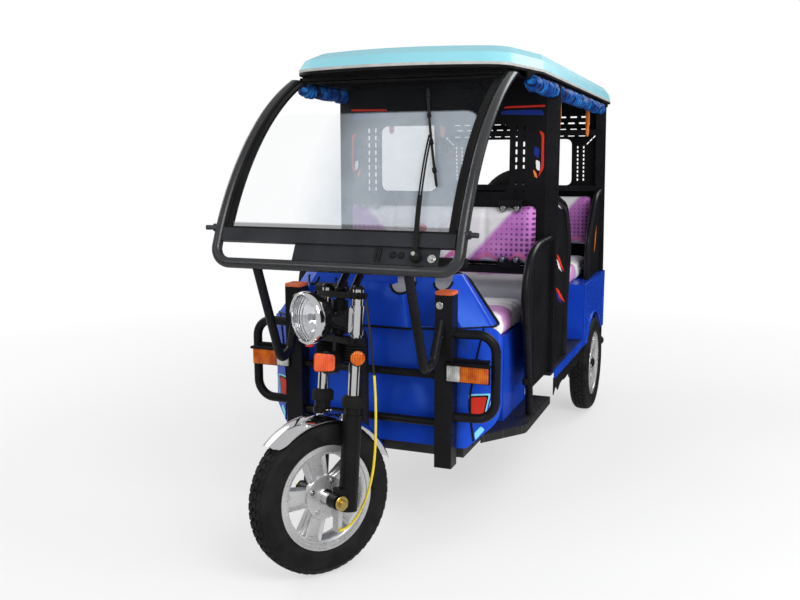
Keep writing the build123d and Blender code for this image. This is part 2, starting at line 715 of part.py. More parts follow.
def bench_backrest():
    back = box(PARTITION_X + 16 - BACK_T, PARTITION_X + 16, -SEAT_Y, SEAT_Y, BACK_LOW, BACK_TOP)
    return fillet(back.edges().group_by(Axis.X)[0], BACK_ROUND)


def battery():
    return box(BENCH_X + 15, PARTITION_X - 15, 25 - SEAT_Y, SEAT_Y - 25, FLOOR_Z, SEAT_Z - 25)


ARCH_R = 275.0
PLATE_HOLES = 170.0
PLATE_HOLE_R = 3.25
PLATE_Z = 560.0


def rear_quarter():
    z0 = FLOOR_Z - SILL_H
    outer = box(TAIL_X, REAR_BOX_X, QUARTER_IN, HALF, z0, SEAT_Z)
    inner = box(TAIL_X + SHEET, REAR_BOX_X - SHEET, QUARTER_IN + SHEET, HALF - SHEET, z0 - 5, SEAT_Z - SHEET)
    arch = Pos(0, HALF, TYRE_R) * Rot(90, 0, 0) * Cylinder(ARCH_R, 40)
    return outer - inner - arch


def rear_seat_box():
    shell = seat_shell(TAIL_X, REAR_BOX_X, QUARTER_IN - FIT, FLOOR_Z, SEAT_Z)
    for y in (-PLATE_HOLES / 2, PLATE_HOLES / 2):
        shell -= Pos(TAIL_X, y, PLATE_Z) * Rot(0, 90, 0) * Cylinder(PLATE_HOLE_R, 40)
    return shell


def rear_cushion():
    return cushion(TAIL_X + 120, REAR_BOX_X + 20, SEAT_Y, SEAT_Z, SEAT_Z + PAD_H, PAD_ROUND)


LEAN_RUN = 0.10


def back_x(z):
    return TAIL_X + 10 + (z - SEAT_Z) * LEAN_RUN


def lean_slab(z0, z1, d0, d1, y0, y1):
    pts = [(back_x(z0) + d0, z0), (back_x(z0) + d1, z0), (back_x(z1) + d1, z1), (back_x(z1) + d0, z1)]
    return slab(pts, y0, y1)


REAR_D = 40.0


def rear_frame():
    y0 = PILLAR_Y - PILLAR_W / 2
    members = [both(lean_slab(SEAT_Z, FRAME_Z - FIT, 0, REAR_D, y0, PILLAR_Y + PILLAR_W / 2))]
    for z in (SEAT_Z, BACK_LOW, RAIL_TOP_Z - 30, WINDOW_TOP + 5):
        members.append(lean_slab(z, z + 30, 0, REAR_D, FIT - y0, y0 - FIT))
    return group(*members)


def rear_panel():
    y0 = PILLAR_Y + PILLAR_W / 2
    panel = lean_slab(SEAT_Z, FRAME_Z - FIT, -SHEET, 0, -y0, y0)
    hole = box(TAIL_X - 200, TAIL_X + 300, -WINDOW_Y, WINDOW_Y, WINDOW_LOW, WINDOW_TOP)
    panel -= fillet(hole.edges().filter_by(Axis.X), 40)
    near, far = SPARE_HUB + FIT, SPARE_GAP - SHEET + 1
    return panel + spare_at(Pos(0, (near + far) / 2, 0) * Rot(90, 0, 0) * Cylinder(38, far - near))


def rear_backrest():
    back = lean_slab(BACK_LOW - 30, BACK_TOP, REAR_D, REAR_D + BACK_T, -SEAT_Y, SEAT_Y)
    ends = back.edges().group_by(Axis.Y)
    return fillet(ends[0].sort_by(Axis.X)[-1:] + ends[-1].sort_by(Axis.X)[-1:], BACK_ROUND)


SPARE_Z = 1010.0
SPARE_HUB = 30.0
SPARE_GAP = SHEET + TYRE_W / 2 + 6


def spare_at(shape):
    tilt = math.degrees(math.atan(LEAN_RUN))
    return Pos(back_x(SPARE_Z) - SPARE_GAP, 0, SPARE_Z) * Rot(0, tilt, 0) * Rot(0, 0, -90) * shape


GUARD_TUBE = 30.0
GUARD_Y = HALF - 26.0
DRIVER_RUN = DRIVER_X - PART_FRONT
REAR_GUARD_X = REAR_BOX_X - 203.0


def side_guards():
    tables = [
        [(PART_FRONT - 2, BACK_TOP - 45), (DRIVER_X - 0.39 * DRIVER_RUN, BACK_TOP - 165),
         (DRIVER_X - 3, DRIVER_SEAT_Z + 135), (DRIVER_X - 3, STEP_Z)],
        [(PARTITION_X + 2, BACK_TOP + 30), (BENCH_X + 80, BACK_TOP - 20), (BENCH_X - 25, SEAT_Z + 230),
         (BENCH_X + 25, SEAT_Z - 60), (BENCH_X + 25, FLOOR_Z)],
        [(back_x(BACK_TOP + 20) + REAR_D - 4, BACK_TOP + 20), (REAR_GUARD_X - 194, BACK_TOP - 10),
         (REAR_GUARD_X, SEAT_Z + 200), (REAR_GUARD_X, SEAT_Z)],
    ]
    shapes = []
    for pts in tables:
        shapes.append(pipe([(x, GUARD_Y, z) for x, z in pts], 60, GUARD_TUBE))
    y0 = PILLAR_Y - PILLAR_W / 2
    cut_mid = box(PARTITION_X, PART_FRONT, y0, PILLAR_Y + PILLAR_W / 2, FLOOR_Z, FRAME_Z)
    cut_back = lean_slab(SEAT_Z, FRAME_Z, -60, REAR_D, y0, PILLAR_Y + PILLAR_W / 2)
    solids = [(s - cut_mid - cut_back).solids().sort_by(SortBy.VOLUME)[-1] for s in shapes]
    return both(Compound(children=solids))


def side_panels():
    y0, y1 = GUARD_Y - 2, GUARD_Y + 2
    front = [(PART_FRONT, FLOOR_Z), (PART_FRONT, BACK_TOP - 75), (DRIVER_X - 0.43 * DRIVER_RUN, BACK_TOP - 190),
             (DRIVER_X - 40, DRIVER_SEAT_Z + 130), (DRIVER_X - 20, DRIVER_SEAT_Z + 45), (DRIVER_X - 20, FLOOR_Z)]
    mid = [(PARTITION_X, FLOOR_Z), (PARTITION_X, BACK_TOP + 2), (BENCH_X + 120, BACK_TOP - 40),
           (BENCH_X, SEAT_Z + 225), (BENCH_X + 42, SEAT_Z - 60), (BENCH_X + 42, FLOOR_Z)]
    z1 = BACK_TOP - 10
    rear = [(back_x(SEAT_Z) + REAR_D, SEAT_Z), (back_x(z1) + REAR_D, z1), (REAR_GUARD_X - 214, BACK_TOP - 40),
            (REAR_GUARD_X - 29, SEAT_Z + 185), (REAR_GUARD_X - 18, SEAT_Z)]
    return both(Compound(children=[slab(p, y0, y1).solid() for p in (front, mid, rear)]))


# Roof.
ROOF_RISE = 84.0
TRIM_H = 18.0
TRIM_W = 12.0
ROOF_WAIST = ROOF_TIP - 390.0
CORNER_X = ROOF_TIP - 85.0
CORNER_IN = 63.0
FRONT_ROUND = 130.0
BACK_ROUND_R = 45.0


def roof_section(side, front, z):
    h, corner = ROOF_HALF - side, ROOF_HALF - CORNER_IN - side
    back, waist, x, tip = ROOF_BACK + side, ROOF_WAIST - front, CORNER_X - front, ROOF_TIP - front
    edges = [
        Line((back, -h), (back, h)), Line((back, h), (waist, h)), Line((waist, h), (x, corner)),
        ThreePointArc((x, corner), (tip, 0), (x, -corner)),
        Line((x, -corner), (waist, -h)), Line((waist, -h), (back, -h)),
    ]
    face = make_face(edges)
    face = fillet([v for v in face.vertices() if v.X > x - 1], FRONT_ROUND)
    face = fillet([v for v in face.vertices() if v.X < back + 1], BACK_ROUND_R)
    return Pos(0, 0, z) * face


def roof_trim():
    ring = roof_section(0, 0, ROOF_Z) - roof_section(TRIM_W, TRIM_W, ROOF_Z)
    return extrude(ring, amount=TRIM_H)


def roof_lining():
    return extrude(roof_section(TRIM_W + FIT, TRIM_W + FIT, ROOF_Z), amount=SHEET)


def roof():
    z, t = ROOF_Z + TRIM_H, SHEET
    levels = [(0, 0, z), (10, 30, z + 36), (34, 110, z + 66), (110, 330, z + ROOF_RISE)]
    outer = loft([roof_section(side, front, h) for side, front, h in levels], ruled=True)
    drops = [0.5, t, t, t]
    inner = [roof_section(side + t, front + t, h - drop) for (side, front, h), drop in zip(levels, drops)]
    return outer - loft(inner, ruled=True)


def roof_frame():
    y0, y1 = HOOP_Y - HOOP_D / 2, HOOP_Y
    front = HOOP_HEAD[0] + HOOP_D / 2
    members = [
        both(box(ROOF_BACK + 25, ROOF_WAIST, y0, PILLAR_Y - 3, FRAME_Z, ROOF_Z)),
        both(box(ROOF_WAIST + FIT, front, y0, y1, FRAME_Z, ROOF_Z)),
    ]
    for x in (TAIL_X + 70, REAR_BOX_X + 73, PARTITION_X + 4, front - 36):
        members.append(box(x, x + 36, FIT - y0, y0 - FIT, FRAME_Z, ROOF_Z))
    return group(*members)


ROLL_D = 54.0


def curtain_rolls():
    z = FRAME_Z - ROLL_D / 2
    spans = [(TAIL_X + 150, PARTITION_X - 6), (PART_FRONT + 6, HOOP_HEAD[0] - 67)]
    return group(*[both(rod((x0, PILLAR_Y, z), (x1, PILLAR_Y, z), ROLL_D)) for x0, x1 in spans])


def hand_straps():
    y = HOOP_Y - 17
    straps = []
    for x in (BENCH_X - 40, TAIL_X + 190):
        loop = box(x, x + 36, y - 13, y + 13, FRAME_Z - 165, FRAME_Z)
        loop -= box(x - 5, x + 60, y - 9, y + 9, FRAME_Z - 160, FRAME_Z - 20)
        straps.append(loop.solid())
    return both(Compound(children=straps))


# Underneath.
AXLE_D = 56.0
SHAFT_D = 25.0
MOTOR_D = 150.0
MOTOR_X = (60.0, 330.0)
DRUM_BRAKE_D = 180.0


def rear_axle():
    end = WHEEL_Y - 68
    axle = rod((0, -end, TYRE_R), (0, end, TYRE_R), AXLE_D)
    axle += rod((0, -WHEEL_Y - 36, TYRE_R), (0, WHEEL_Y + 36, TYRE_R), SHAFT_D)
    axle += box(-95, 95, -70, 70, TYRE_R - 85, TYRE_R + 85)
    axle += rod((MOTOR_X[0], 0, TYRE_R + 5), (MOTOR_X[1], 0, TYRE_R + 5), MOTOR_D)
    for s in (1, -1):
        axle += rod((0, s * (end - 14), TYRE_R), (0, s * end, TYRE_R), DRUM_BRAKE_D)
        axle += box(-40, 40, s * RAIL_Y - 22, s * RAIL_Y + 22, TYRE_R, TYRE_R + AXLE_D / 2 + 4)
    return axle


SPRING_W = 40.0
SPRING_T = 16.0


def leaf_springs():
    z0 = TYRE_R + AXLE_D / 2 + 4
    zr = REAR_RAIL_TOP - RAIL_H
    ends = (-305.0, 305.0)
    def curve(dz):
        return ThreePointArc((ends[0], 0, z0 + 50 + dz), (0, 0, z0 + dz), (ends[1], 0, z0 + 50 + dz))
    edges = [curve(0), Line((ends[1], 0, z0 + 50), (ends[1], 0, z0 + 50 + SPRING_T)), curve(SPRING_T),
             Line((ends[0], 0, z0 + 50 + SPRING_T), (ends[0], 0, z0 + 50))]
    leaf = Pos(0, RAIL_Y - SPRING_W / 2, 0) * extrude(make_face(edges), amount=SPRING_W, dir=(0, 1, 0))
    for x in ends:
        leaf += box(x - 16, x + 16, RAIL_Y - 17, RAIL_Y + 17, z0 + 46, zr)
    return both(leaf)


def rear_bumper():
    z = BUMPER_Z
    end = HALF - 30
    bar = rod((BUMPER_X, -end, z), (BUMPER_X, end, z), BUMPER_D)
    for s in (1, -1):
        bar += Pos(BUMPER_X, s * end, z) * Sphere(BUMPER_BALL_R)
        bar += box(BUMPER_X, RAIL_TAIL, s * RAIL_Y - 15, s * RAIL_Y + 15, z - 12, z + 12)
        bar += box(RAIL_TAIL - 14, RAIL_TAIL, s * RAIL_Y - 18, s * RAIL_Y + 18, z - 12, REAR_RAIL_TOP)
    return bar


def tail_lamps():
    return both(box(TAIL_X - 24, TAIL_X, QUARTER_IN + 12, HALF - 12, PLATE_Z - 20, PLATE_Z + 80))


def wheel_at(shape, side):
    return Pos(0, side * WHEEL_Y, TYRE_R) * (Rot(0, 0, 180) if side < 0 else Rot(0, 0, 0)) * shape


def front_wheel_at(shape):
    return STEERED * Pos(FORK_OFFSET, 0, 0) * shape


REAR_BORE = SHAFT_D / 2 + RUN_FIT
FRONT_BORE = AXLE_R + RUN_FIT
rear_rim = rim(52, -40, 36, REAR_BORE)
front_rim = rim(58, -38, 14, FRONT_BORE)
spare_rim = rim(52, -SPARE_HUB, SPARE_HUB, 8)

nodes = {
    "chassis_frame": chassis_frame(),
    "steering_neck": steering_neck(),
    "floors": group(driver_floor(), running_boards(), passenger_floor()),
    "sills": sills(),
    "front_panel": front_panel(),
    "front_cowl": front_cowl(),
    "front_guard": front_guard(),
    "lamps": group(front_indicators(), tail_lamps()),
    "windscreen_hoop": windscreen_hoop(),
    "windscreen": windscreen(),
    "screen_rail": screen_rail() + dash_plate(),
    "wiper": wiper(),
    "seat_boxes": group(driver_seat_box(), bench_box(), rear_seat_box()),
    "seat_cushions": group(driver_cushion(), bench_cushion(), rear_cushion()),
    "seat_backs": group(driver_backrest(), bench_backrest(), rear_backrest()),
    "body_frame": group(partition_frame(), rear_frame(), roof_frame()),
    "body_panels": group(partition_panel(), rear_panel(), side_panels()),
    "battery": battery(),
    "rear_quarters": both(rear_quarter()),
    "side_guards": side_guards(),
    "roof": roof(),
    "roof_trim": roof_trim(),
    "roof_lining": roof_lining(),
    "curtain_rolls": curtain_rolls(),
    "hand_straps": hand_straps(),
    "rear_axle": rear_axle(),
    "leaf_springs": leaf_springs(),
    "rear_bumper": rear_bumper(),
    "spare_tyre": spare_at(tyre()),
    "spare_rim": spare_at(spare_rim),
    "fork_tubes": STEERED * fork_tubes(),
    "fork_sliders": STEERED * fork_sliders(),
    "fork_clamps": STEERED * (fork_clamps() + horn()),
    "handlebar": STEERED * handlebar(),
    "grips": STEERED * group(grips(), control_drum()),
    "headlamp": STEERED * (lamp_bowl() + lamp_rim()),
    "lamp_lens": STEERED * lamp_lens(),
    "front_mudguard": STEERED * front_mudguard(),
    "front_brake": STEERED * front_brake(),
    "brake_cable": STEERED * brake_cable(),
    "front_tyre": front_wheel_at(tyre()),
    "front_rim": front_wheel_at(front_rim),
    "rear_tyre_left": wheel_at(tyre(), 1),
    "rear_rim_left": wheel_at(rear_rim, 1),
    "rear_tyre_right": wheel_at(tyre(), -1),
    "rear_rim_right": wheel_at(rear_rim, -1),
}

os.makedirs("parts", exist_ok=True)
for name, shape in nodes.items():
    export_step(Pos(REAR_AXLE_X, 0, 0) * shape, "parts/" + name + ".step")
    print(name, len(shape.solids()), round(shape.volume / 1e6, 3))
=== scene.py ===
import bpy
import bmesh
import math
from mathutils import Matrix, Vector, noise
from mathutils.bvhtree import BVHTree


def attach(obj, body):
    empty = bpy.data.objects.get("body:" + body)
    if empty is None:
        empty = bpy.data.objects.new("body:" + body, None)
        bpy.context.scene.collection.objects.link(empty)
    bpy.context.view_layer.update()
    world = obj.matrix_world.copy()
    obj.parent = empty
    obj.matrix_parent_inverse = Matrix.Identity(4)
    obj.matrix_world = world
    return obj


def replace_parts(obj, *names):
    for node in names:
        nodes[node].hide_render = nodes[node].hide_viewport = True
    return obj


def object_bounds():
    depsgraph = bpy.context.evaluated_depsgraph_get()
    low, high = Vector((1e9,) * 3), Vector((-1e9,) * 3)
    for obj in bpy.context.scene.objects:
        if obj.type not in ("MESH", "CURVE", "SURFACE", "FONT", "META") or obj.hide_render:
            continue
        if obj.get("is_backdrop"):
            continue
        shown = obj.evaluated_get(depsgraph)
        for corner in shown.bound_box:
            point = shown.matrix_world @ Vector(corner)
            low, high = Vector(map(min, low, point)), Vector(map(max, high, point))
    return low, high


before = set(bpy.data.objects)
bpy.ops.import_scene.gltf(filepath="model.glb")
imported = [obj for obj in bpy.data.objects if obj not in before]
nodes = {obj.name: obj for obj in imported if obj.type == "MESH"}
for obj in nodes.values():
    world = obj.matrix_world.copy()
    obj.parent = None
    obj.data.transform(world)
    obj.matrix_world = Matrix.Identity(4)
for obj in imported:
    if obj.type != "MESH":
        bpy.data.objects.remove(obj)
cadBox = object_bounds()
scene = bpy.context.scene
print("frame loaded,", len(nodes), "nodes")

rearAxleX = -0.977  # the drawing's x runs from the rear axle, in mm


def at(x, y, z):  # a point of the drawing, in metres in the scene
    return Vector((x / 1000 + rearAxleX, y / 1000, z / 1000))


hoop = {"x": 1192.0, "z": 634.9, "r": 1019.0}  # centre and radius of the screen's bend

# the steering group's own axes, turned to the right as it stands
steering = {"x": 2168.0, "z": 240.1209, "rake": 8.0, "turn": 31.0, "offset": 37.0, "legX": -8.0, "legY": 86.0}
forkMatrix = (Matrix.Translation(at(steering["x"], 0, steering["z"]))
              @ Matrix.Rotation(math.radians(-steering["rake"]), 4, "Y")
              @ Matrix.Rotation(math.radians(-steering["turn"]), 4, "Z"))


def movedBy(x, y=0.0, z=0.0):  # a move in mm
    return Matrix.Translation((x / 1000, y / 1000, z / 1000))


def forkAt(x, y, z):  # a point of the steering group
    return forkMatrix @ Vector((x / 1000, y / 1000, z / 1000))


# finishes
def nodeTree(name):
    mat = bpy.data.materials.new(name)
    mat.use_nodes = True
    tree = mat.node_tree
    return mat, tree, tree.nodes["Principled BSDF"]


def addNode(tree, kind, **values):
    node = tree.nodes.new(kind)
    for key, value in values.items():
        if key in node.inputs:
            node.inputs[key].default_value = value
        else:
            setattr(node, key, value)
    return node


def coordOf(tree):
    return tree.nodes.new("ShaderNodeTexCoord").outputs["Object"]


def axesOf(tree, coord):
    axes = tree.nodes.new("ShaderNodeSeparateXYZ")
    tree.links.new(coord, axes.inputs[0])
    return axes.outputs


def noiseOf(tree, coord, scale, detail=3.0, rough=0.55):
    tex = addNode(tree, "ShaderNodeTexNoise", Scale=scale, Detail=detail, Roughness=rough)
    tree.links.new(coord, tex.inputs["Vector"])
    return tex.outputs["Fac"]


def rampOf(tree, fac, stops):
    ramp = tree.nodes.new("ShaderNodeValToRGB")
    while len(ramp.color_ramp.elements) < len(stops):
        ramp.color_ramp.elements.new(0.5)
    for element, (place, color) in zip(ramp.color_ramp.elements, stops):
        element.position = place
        element.color = (*color, 1.0)
    tree.links.new(fac, ramp.inputs["Fac"])
    return ramp.outputs["Color"]


def mixOf(tree, fac, a, b):
    mix = addNode(tree, "ShaderNodeMix", data_type="RGBA")
    for value, socket in ((fac, mix.inputs[0]), (a, mix.inputs[6]), (b, mix.inputs[7])):
        if isinstance(value, (tuple, float)):
            socket.default_value = (*value, 1.0) if isinstance(value, tuple) else value
        else:
            tree.links.new(value, socket)
    return mix.outputs[2]


def mathOf(tree, operation, a, b=0.0, clamp=False):
    node = addNode(tree, "ShaderNodeMath", operation=operation, use_clamp=clamp)
    for value, socket in ((a, node.inputs[0]), (b, node.inputs[1])):
        if isinstance(value, (int, float)):
            socket.default_value = value
        else:
            tree.links.new(value, socket)
    return node.outputs[0]


def spanOf(tree, value, low, high, toLow=0.0, toHigh=1.0):
    span = addNode(tree, "ShaderNodeMapRange", **{"From Min": low, "From Max": high, "To Min": toLow,
                                                  "To Max": toHigh})
    tree.links.new(value, span.inputs["Value"])
    return span.outputs["Result"]


def bumpOf(tree, shader, height, strength, distance):
    bump = addNode(tree, "ShaderNodeBump", Strength=strength, Distance=distance)
    tree.links.new(height, bump.inputs["Height"])
    tree.links.new(bump.outputs["Normal"], shader.inputs["Normal"])


def roughOf(tree, shader, coord, scale, low, high, detail=3.0):
    uneven = spanOf(tree, noiseOf(tree, coord, scale, detail), 0.3, 0.7, low, high)
    tree.links.new(uneven, shader.inputs["Roughness"])


def finish(name, color, worn, rough, metal=0.0, coat=0.0, blotch=7.0, spread=0.08, grain=500.0, depth=0.00015,
           shine=0.5, tint=(1.0, 1.0, 1.0, 1.0)):
    mat, tree, shader = nodeTree(name)
    coord = coordOf(tree)
    soft = noiseOf(tree, coord, blotch, 5.0)
    tree.links.new(rampOf(tree, soft, [(0.35, color), (0.75, worn)]), shader.inputs["Base Color"])
    fine = noiseOf(tree, coord, blotch * 6, 4.0)
    tree.links.new(spanOf(tree, fine, 0.25, 0.75, rough - spread, rough + spread), shader.inputs["Roughness"])
    bumpOf(tree, shader, noiseOf(tree, coord, grain, 2.0), 0.35, depth)
    shader.inputs["Metallic"].default_value = metal
    shader.inputs["Coat Weight"].default_value = coat
    shader.inputs["Specular IOR Level"].default_value = shine
    shader.inputs["Specular Tint"].default_value = tint
    return mat


looks = {  # colour, worn colour, roughness, other settings
    "bluePaint": ((0.008, 0.050, 0.46), (0.012, 0.066, 0.55), 0.2,
                  dict(grain=60, depth=0.0002, shine=0.5, tint=(0.22, 0.46, 1.0, 1.0))),
    "roofCyan": ((0.24, 0.58, 0.67), (0.29, 0.63, 0.72), 0.34,
                 dict(blotch=3, grain=45, depth=0.0003, shine=0.3)),
    "hoopBlack": ((0.016, 0.017, 0.019), (0.026, 0.027, 0.029), 0.28, dict(grain=300, shine=0.5)),
    "frameBlack": ((0.006, 0.006, 0.007), (0.012, 0.012, 0.014), 0.30, dict(grain=700, shine=0.13)),
    "panelBlack": ((0.005, 0.005, 0.006), (0.010, 0.010, 0.011), 0.55, dict(grain=500, shine=0.06)),
    "liningBlack": ((0.004, 0.004, 0.005), (0.008, 0.008, 0.008), 0.85, dict(grain=1400, shine=0.04)),
    "railGrey": ((0.016, 0.017, 0.020), (0.030, 0.031, 0.036), 0.42, dict(metal=0.1, grain=400, shine=0.2)),
    "wiperBlack": ((0.006, 0.006, 0.006), (0.012, 0.012, 0.012), 0.42, dict(grain=800, shine=0.15)),
    "strapOrange": ((0.60, 0.15, 0.012), (0.72, 0.22, 0.02), 0.45, dict(grain=900, depth=0.0004)),
    "capOrange": ((0.62, 0.10, 0.025), (0.70, 0.15, 0.04), 0.40, dict(grain=600)),
    "chrome": ((0.84, 0.84, 0.85), (0.74, 0.74, 0.76), 0.09,
               dict(metal=1.0, spread=0.03, grain=90, depth=0.0001)),
    "forkBlack": ((0.005, 0.005, 0.005), (0.010, 0.010, 0.011), 0.30, dict(grain=600, shine=0.14)),
    "alloy": ((0.62, 0.62, 0.63), (0.72, 0.72, 0.73), 0.30, dict(metal=0.7, grain=650, depth=0.0003)),
    "springSteel": ((0.10, 0.10, 0.105), (0.17, 0.16, 0.155), 0.50, dict(metal=0.6, grain=400)),
    "axleBlack": ((0.012, 0.012, 0.012), (0.030, 0.028, 0.026), 0.55, dict(grain=300, depth=0.0005)),
    "batteryGrey": ((0.030, 0.030, 0.032), (0.050, 0.050, 0.052), 0.55, dict(grain=500)),
    "gripRubber": ((0.006, 0.006, 0.006), (0.013, 0.013, 0.013), 0.65,
                   dict(grain=1200, depth=0.0005, shine=0.12)),
    "sealRubber": ((0.005, 0.005, 0.005), (0.010, 0.010, 0.010), 0.50, dict(grain=900, shine=0.1)),
    "zincYellow": ((0.62, 0.45, 0.13), (0.72, 0.60, 0.30), 0.30, dict(metal=1.0, grain=500)),
    "boltZinc": ((0.60, 0.60, 0.58), (0.74, 0.74, 0.72), 0.26, dict(metal=1.0, grain=500)),
    "decalRed": ((0.52, 0.020, 0.012), (0.60, 0.035, 0.018), 0.4, dict(shine=0.1)),
    "decalOrange": ((0.78, 0.16, 0.02), (0.84, 0.23, 0.03), 0.30, dict(coat=0.3, grain=300)),
    "decalCyan": ((0.16, 0.58, 0.80), (0.22, 0.66, 0.84), 0.30, dict(coat=0.3, grain=300)),
    "decalBlue": ((0.006, 0.018, 0.16), (0.010, 0.030, 0.22), 0.4, dict(shine=0.1)),
    "decalWhite": ((0.72, 0.72, 0.74), (0.80, 0.80, 0.82), 0.32, dict(coat=0.3, grain=300)),
    "plateBlank": ((0.62, 0.62, 0.60), (0.70, 0.70, 0.68), 0.40, dict(grain=300)),
}
finishes = {name: finish(name, *look[:3], **look[3]) for name, look in looks.items()}


def ribbedLens(name, deep, bright):  # moulded ribs, with painted reflector light and shade in the colour, lighter along the ribs and varying at random
    mat, tree, shader = nodeTree(name)
    coord = coordOf(tree)
    ribs = addNode(tree, "ShaderNodeTexWave", Scale=46.0, Distortion=0.0)
    ribs.bands_direction = "Y"
    tree.links.new(coord, ribs.inputs["Vector"])
    # painted light and shade behind the lens: noise plus the rib bands
    glow = mathOf(tree, "ADD", noiseOf(tree, coord, 24.0, 2.0),
                  mathOf(tree, "MULTIPLY", ribs.outputs["Fac"], 0.14))
    tree.links.new(rampOf(tree, glow, [(0.38, deep), (0.72, bright)]), shader.inputs["Base Color"])
    roughOf(tree, shader, coord, 60.0, 0.08, 0.2)
    bumpOf(tree, shader, ribs.outputs["Fac"], 0.5, 0.0012)
    shader.inputs["Specular IOR Level"].default_value = 0.35
    return mat


def cableSheath():  # yellow below, a black sleeve above
    mat, tree, shader = nodeTree("cableSheath")
    coord = coordOf(tree)
    axes = axesOf(tree, coord)
    yellow = rampOf(tree, noiseOf(tree, coord, 7.0),
                    [(0.35, (0.66, 0.50, 0.004)), (0.75, (0.72, 0.58, 0.012))])
    color = mixOf(tree, spanOf(tree, axes["Z"], 0.632, 0.636), yellow, (0.007, 0.007, 0.007))
    tree.links.new(color, shader.inputs["Base Color"])
    roughOf(tree, shader, coord, 80.0, 0.3, 0.45)
    bumpOf(tree, shader, noiseOf(tree, coord, 700.0, 2.0), 0.3, 0.0002)
    return mat


def trimEdge():  # bright upper lip over a black skirt
    mat, tree, shader = nodeTree("trimEdge")
    coord = coordOf(tree)
    axes = axesOf(tree, coord)
    lip = spanOf(tree, axes["Z"], 1.6120, 1.6130)
    silver = rampOf(tree, noiseOf(tree, coord, 30.0), [(0.35, (0.40, 0.40, 0.39)), (0.7, (0.50, 0.50, 0.49))])
    tree.links.new(mixOf(tree, lip, (0.004, 0.004, 0.004), silver), shader.inputs["Base Color"])
    roughOf(tree, shader, coord, 80.0, 0.4, 0.52)
    shader.inputs["Specular IOR Level"].default_value = 0.12
    return mat


def lampGlass():
    mat, tree, shader = nodeTree("lampGlass")
    coord = coordOf(tree)
    wave = addNode(tree, "ShaderNodeTexWave", Scale=38.0, Distortion=0.6, Detail=1.0)
    tree.links.new(coord, wave.inputs["Vector"])
    bumpOf(tree, shader, wave.outputs["Fac"], 0.5, 0.0012)
    tint = rampOf(tree, noiseOf(tree, coord, 30), [(0.3, (0.93, 0.95, 0.97)), (0.7, (0.98, 0.99, 1.0))])
    tree.links.new(tint, shader.inputs["Base Color"])
    shader.inputs["Transmission Weight"].default_value = 1.0
    shader.inputs["Roughness"].default_value = 0.04
    shader.inputs["IOR"].default_value = 1.45
    return mat


# degrees along the screen, mm, for the field of painted reflection
paintedGlare = {"low": 26.6, "top": 52.9, "half": 372.0, "corner": 55.0, "clear": 0.004, "glareMost": 0.40,
        "margin": 26.5}


def screenSheet():  # clear acrylic, with a painted reflection as a milky haze that leaves the top and the edges clear
    mat, tree, shader = nodeTree("screenSheet")
    coord = coordOf(tree)
    axes = axesOf(tree, coord)
    forward = mathOf(tree, "SUBTRACT", axes["X"], hoop["x"] / 1000 + rearAxleX)
    upward = mathOf(tree, "SUBTRACT", axes["Z"], hoop["z"] / 1000)
    climb = mathOf(tree, "MULTIPLY", mathOf(tree, "ARCTAN2", upward, forward), hoop["r"] / 1000)
    middle, reach = [math.radians(paintedGlare["top"] + sign * paintedGlare["low"]) / 2 * hoop["r"] / 1000
                     for sign in (1, -1)]
    corner = paintedGlare["corner"] / 1000
    overUp = mathOf(tree, "SUBTRACT", mathOf(tree, "ABSOLUTE", mathOf(tree, "SUBTRACT", climb, middle)),
                    reach - corner)
    overSide = mathOf(tree, "SUBTRACT", mathOf(tree, "ABSOLUTE", axes["Y"]), paintedGlare["half"] / 1000 - corner)
    outside = [mathOf(tree, "POWER", mathOf(tree, "MAXIMUM", value, 0.0), 2.0)
               for value in (overUp, overSide)]
    radius = mathOf(tree, "SQRT", mathOf(tree, "ADD", *outside))
    inside = spanOf(tree, radius, corner - 0.006, corner + 0.004, 1.0, 0.0)
    side = spanOf(tree, axes["Y"], -0.16, 0.04, 0.10, 1.0)
    streaks = spanOf(tree, noiseOf(tree, coord, 5.0, 6.0), 0.3, 0.7, 0.9, 1.08)
    # painted reflection: milky inside the rounded field, weaker towards -y, streaked by noise
    glareMask = mathOf(tree, "MULTIPLY", mathOf(tree, "MULTIPLY", inside, side), streaks)
    margin = math.radians(paintedGlare["margin"]) * hoop["r"] / 1000
    foot = spanOf(tree, climb, margin, margin + 0.006, 0.5, 0.0)  # smoky strip above the rail
    glareAlpha = spanOf(tree, glareMask, 0.0, 1.0, paintedGlare["clear"], paintedGlare["glareMost"])
    tree.links.new(mathOf(tree, "MAXIMUM", glareAlpha, foot), shader.inputs["Alpha"])
    tint = rampOf(tree, noiseOf(tree, coord, 9.0, 5.0),
                  [(0.3, (0.46, 0.52, 0.59)), (0.7, (0.56, 0.62, 0.68))])
    tree.links.new(mixOf(tree, mathOf(tree, "MULTIPLY", foot, 2.0), tint, (0.16, 0.17, 0.18)),
                   shader.inputs["Base Color"])
    shader.inputs["Roughness"].default_value = 0.10
    shader.inputs["Specular IOR Level"].default_value = 0.05
    return mat


def floorTread():  # pressed diamonds on black plate
    mat, tree, shader = nodeTree("floorTread")
    coord = coordOf(tree)
    heights = []
    for turn in (45, -45):
        place = addNode(tree, "ShaderNodeMapping", Rotation=(0, 0, math.radians(turn)),
                        Scale=(28.0, 70.0, 1.0))
        tree.links.new(coord, place.inputs["Vector"])
        cells = addNode(tree, "ShaderNodeTexVoronoi", Scale=1.0, Randomness=0.0)
        tree.links.new(place.outputs["Vector"], cells.inputs["Vector"])
        heights.append(spanOf(tree, cells.outputs["Distance"], 0.25, 0.42, 1.0, 0.0))
    height = mathOf(tree, "MAXIMUM", heights[0], heights[1])
    bumpOf(tree, shader, height, 0.8, 0.0018)
    worn = mixOf(tree, height, (0.009, 0.009, 0.010), (0.030, 0.030, 0.032))
    tree.links.new(worn, shader.inputs["Base Color"])
    roughOf(tree, shader, coord, 20.0, 0.35, 0.6, 5.0)
    return mat


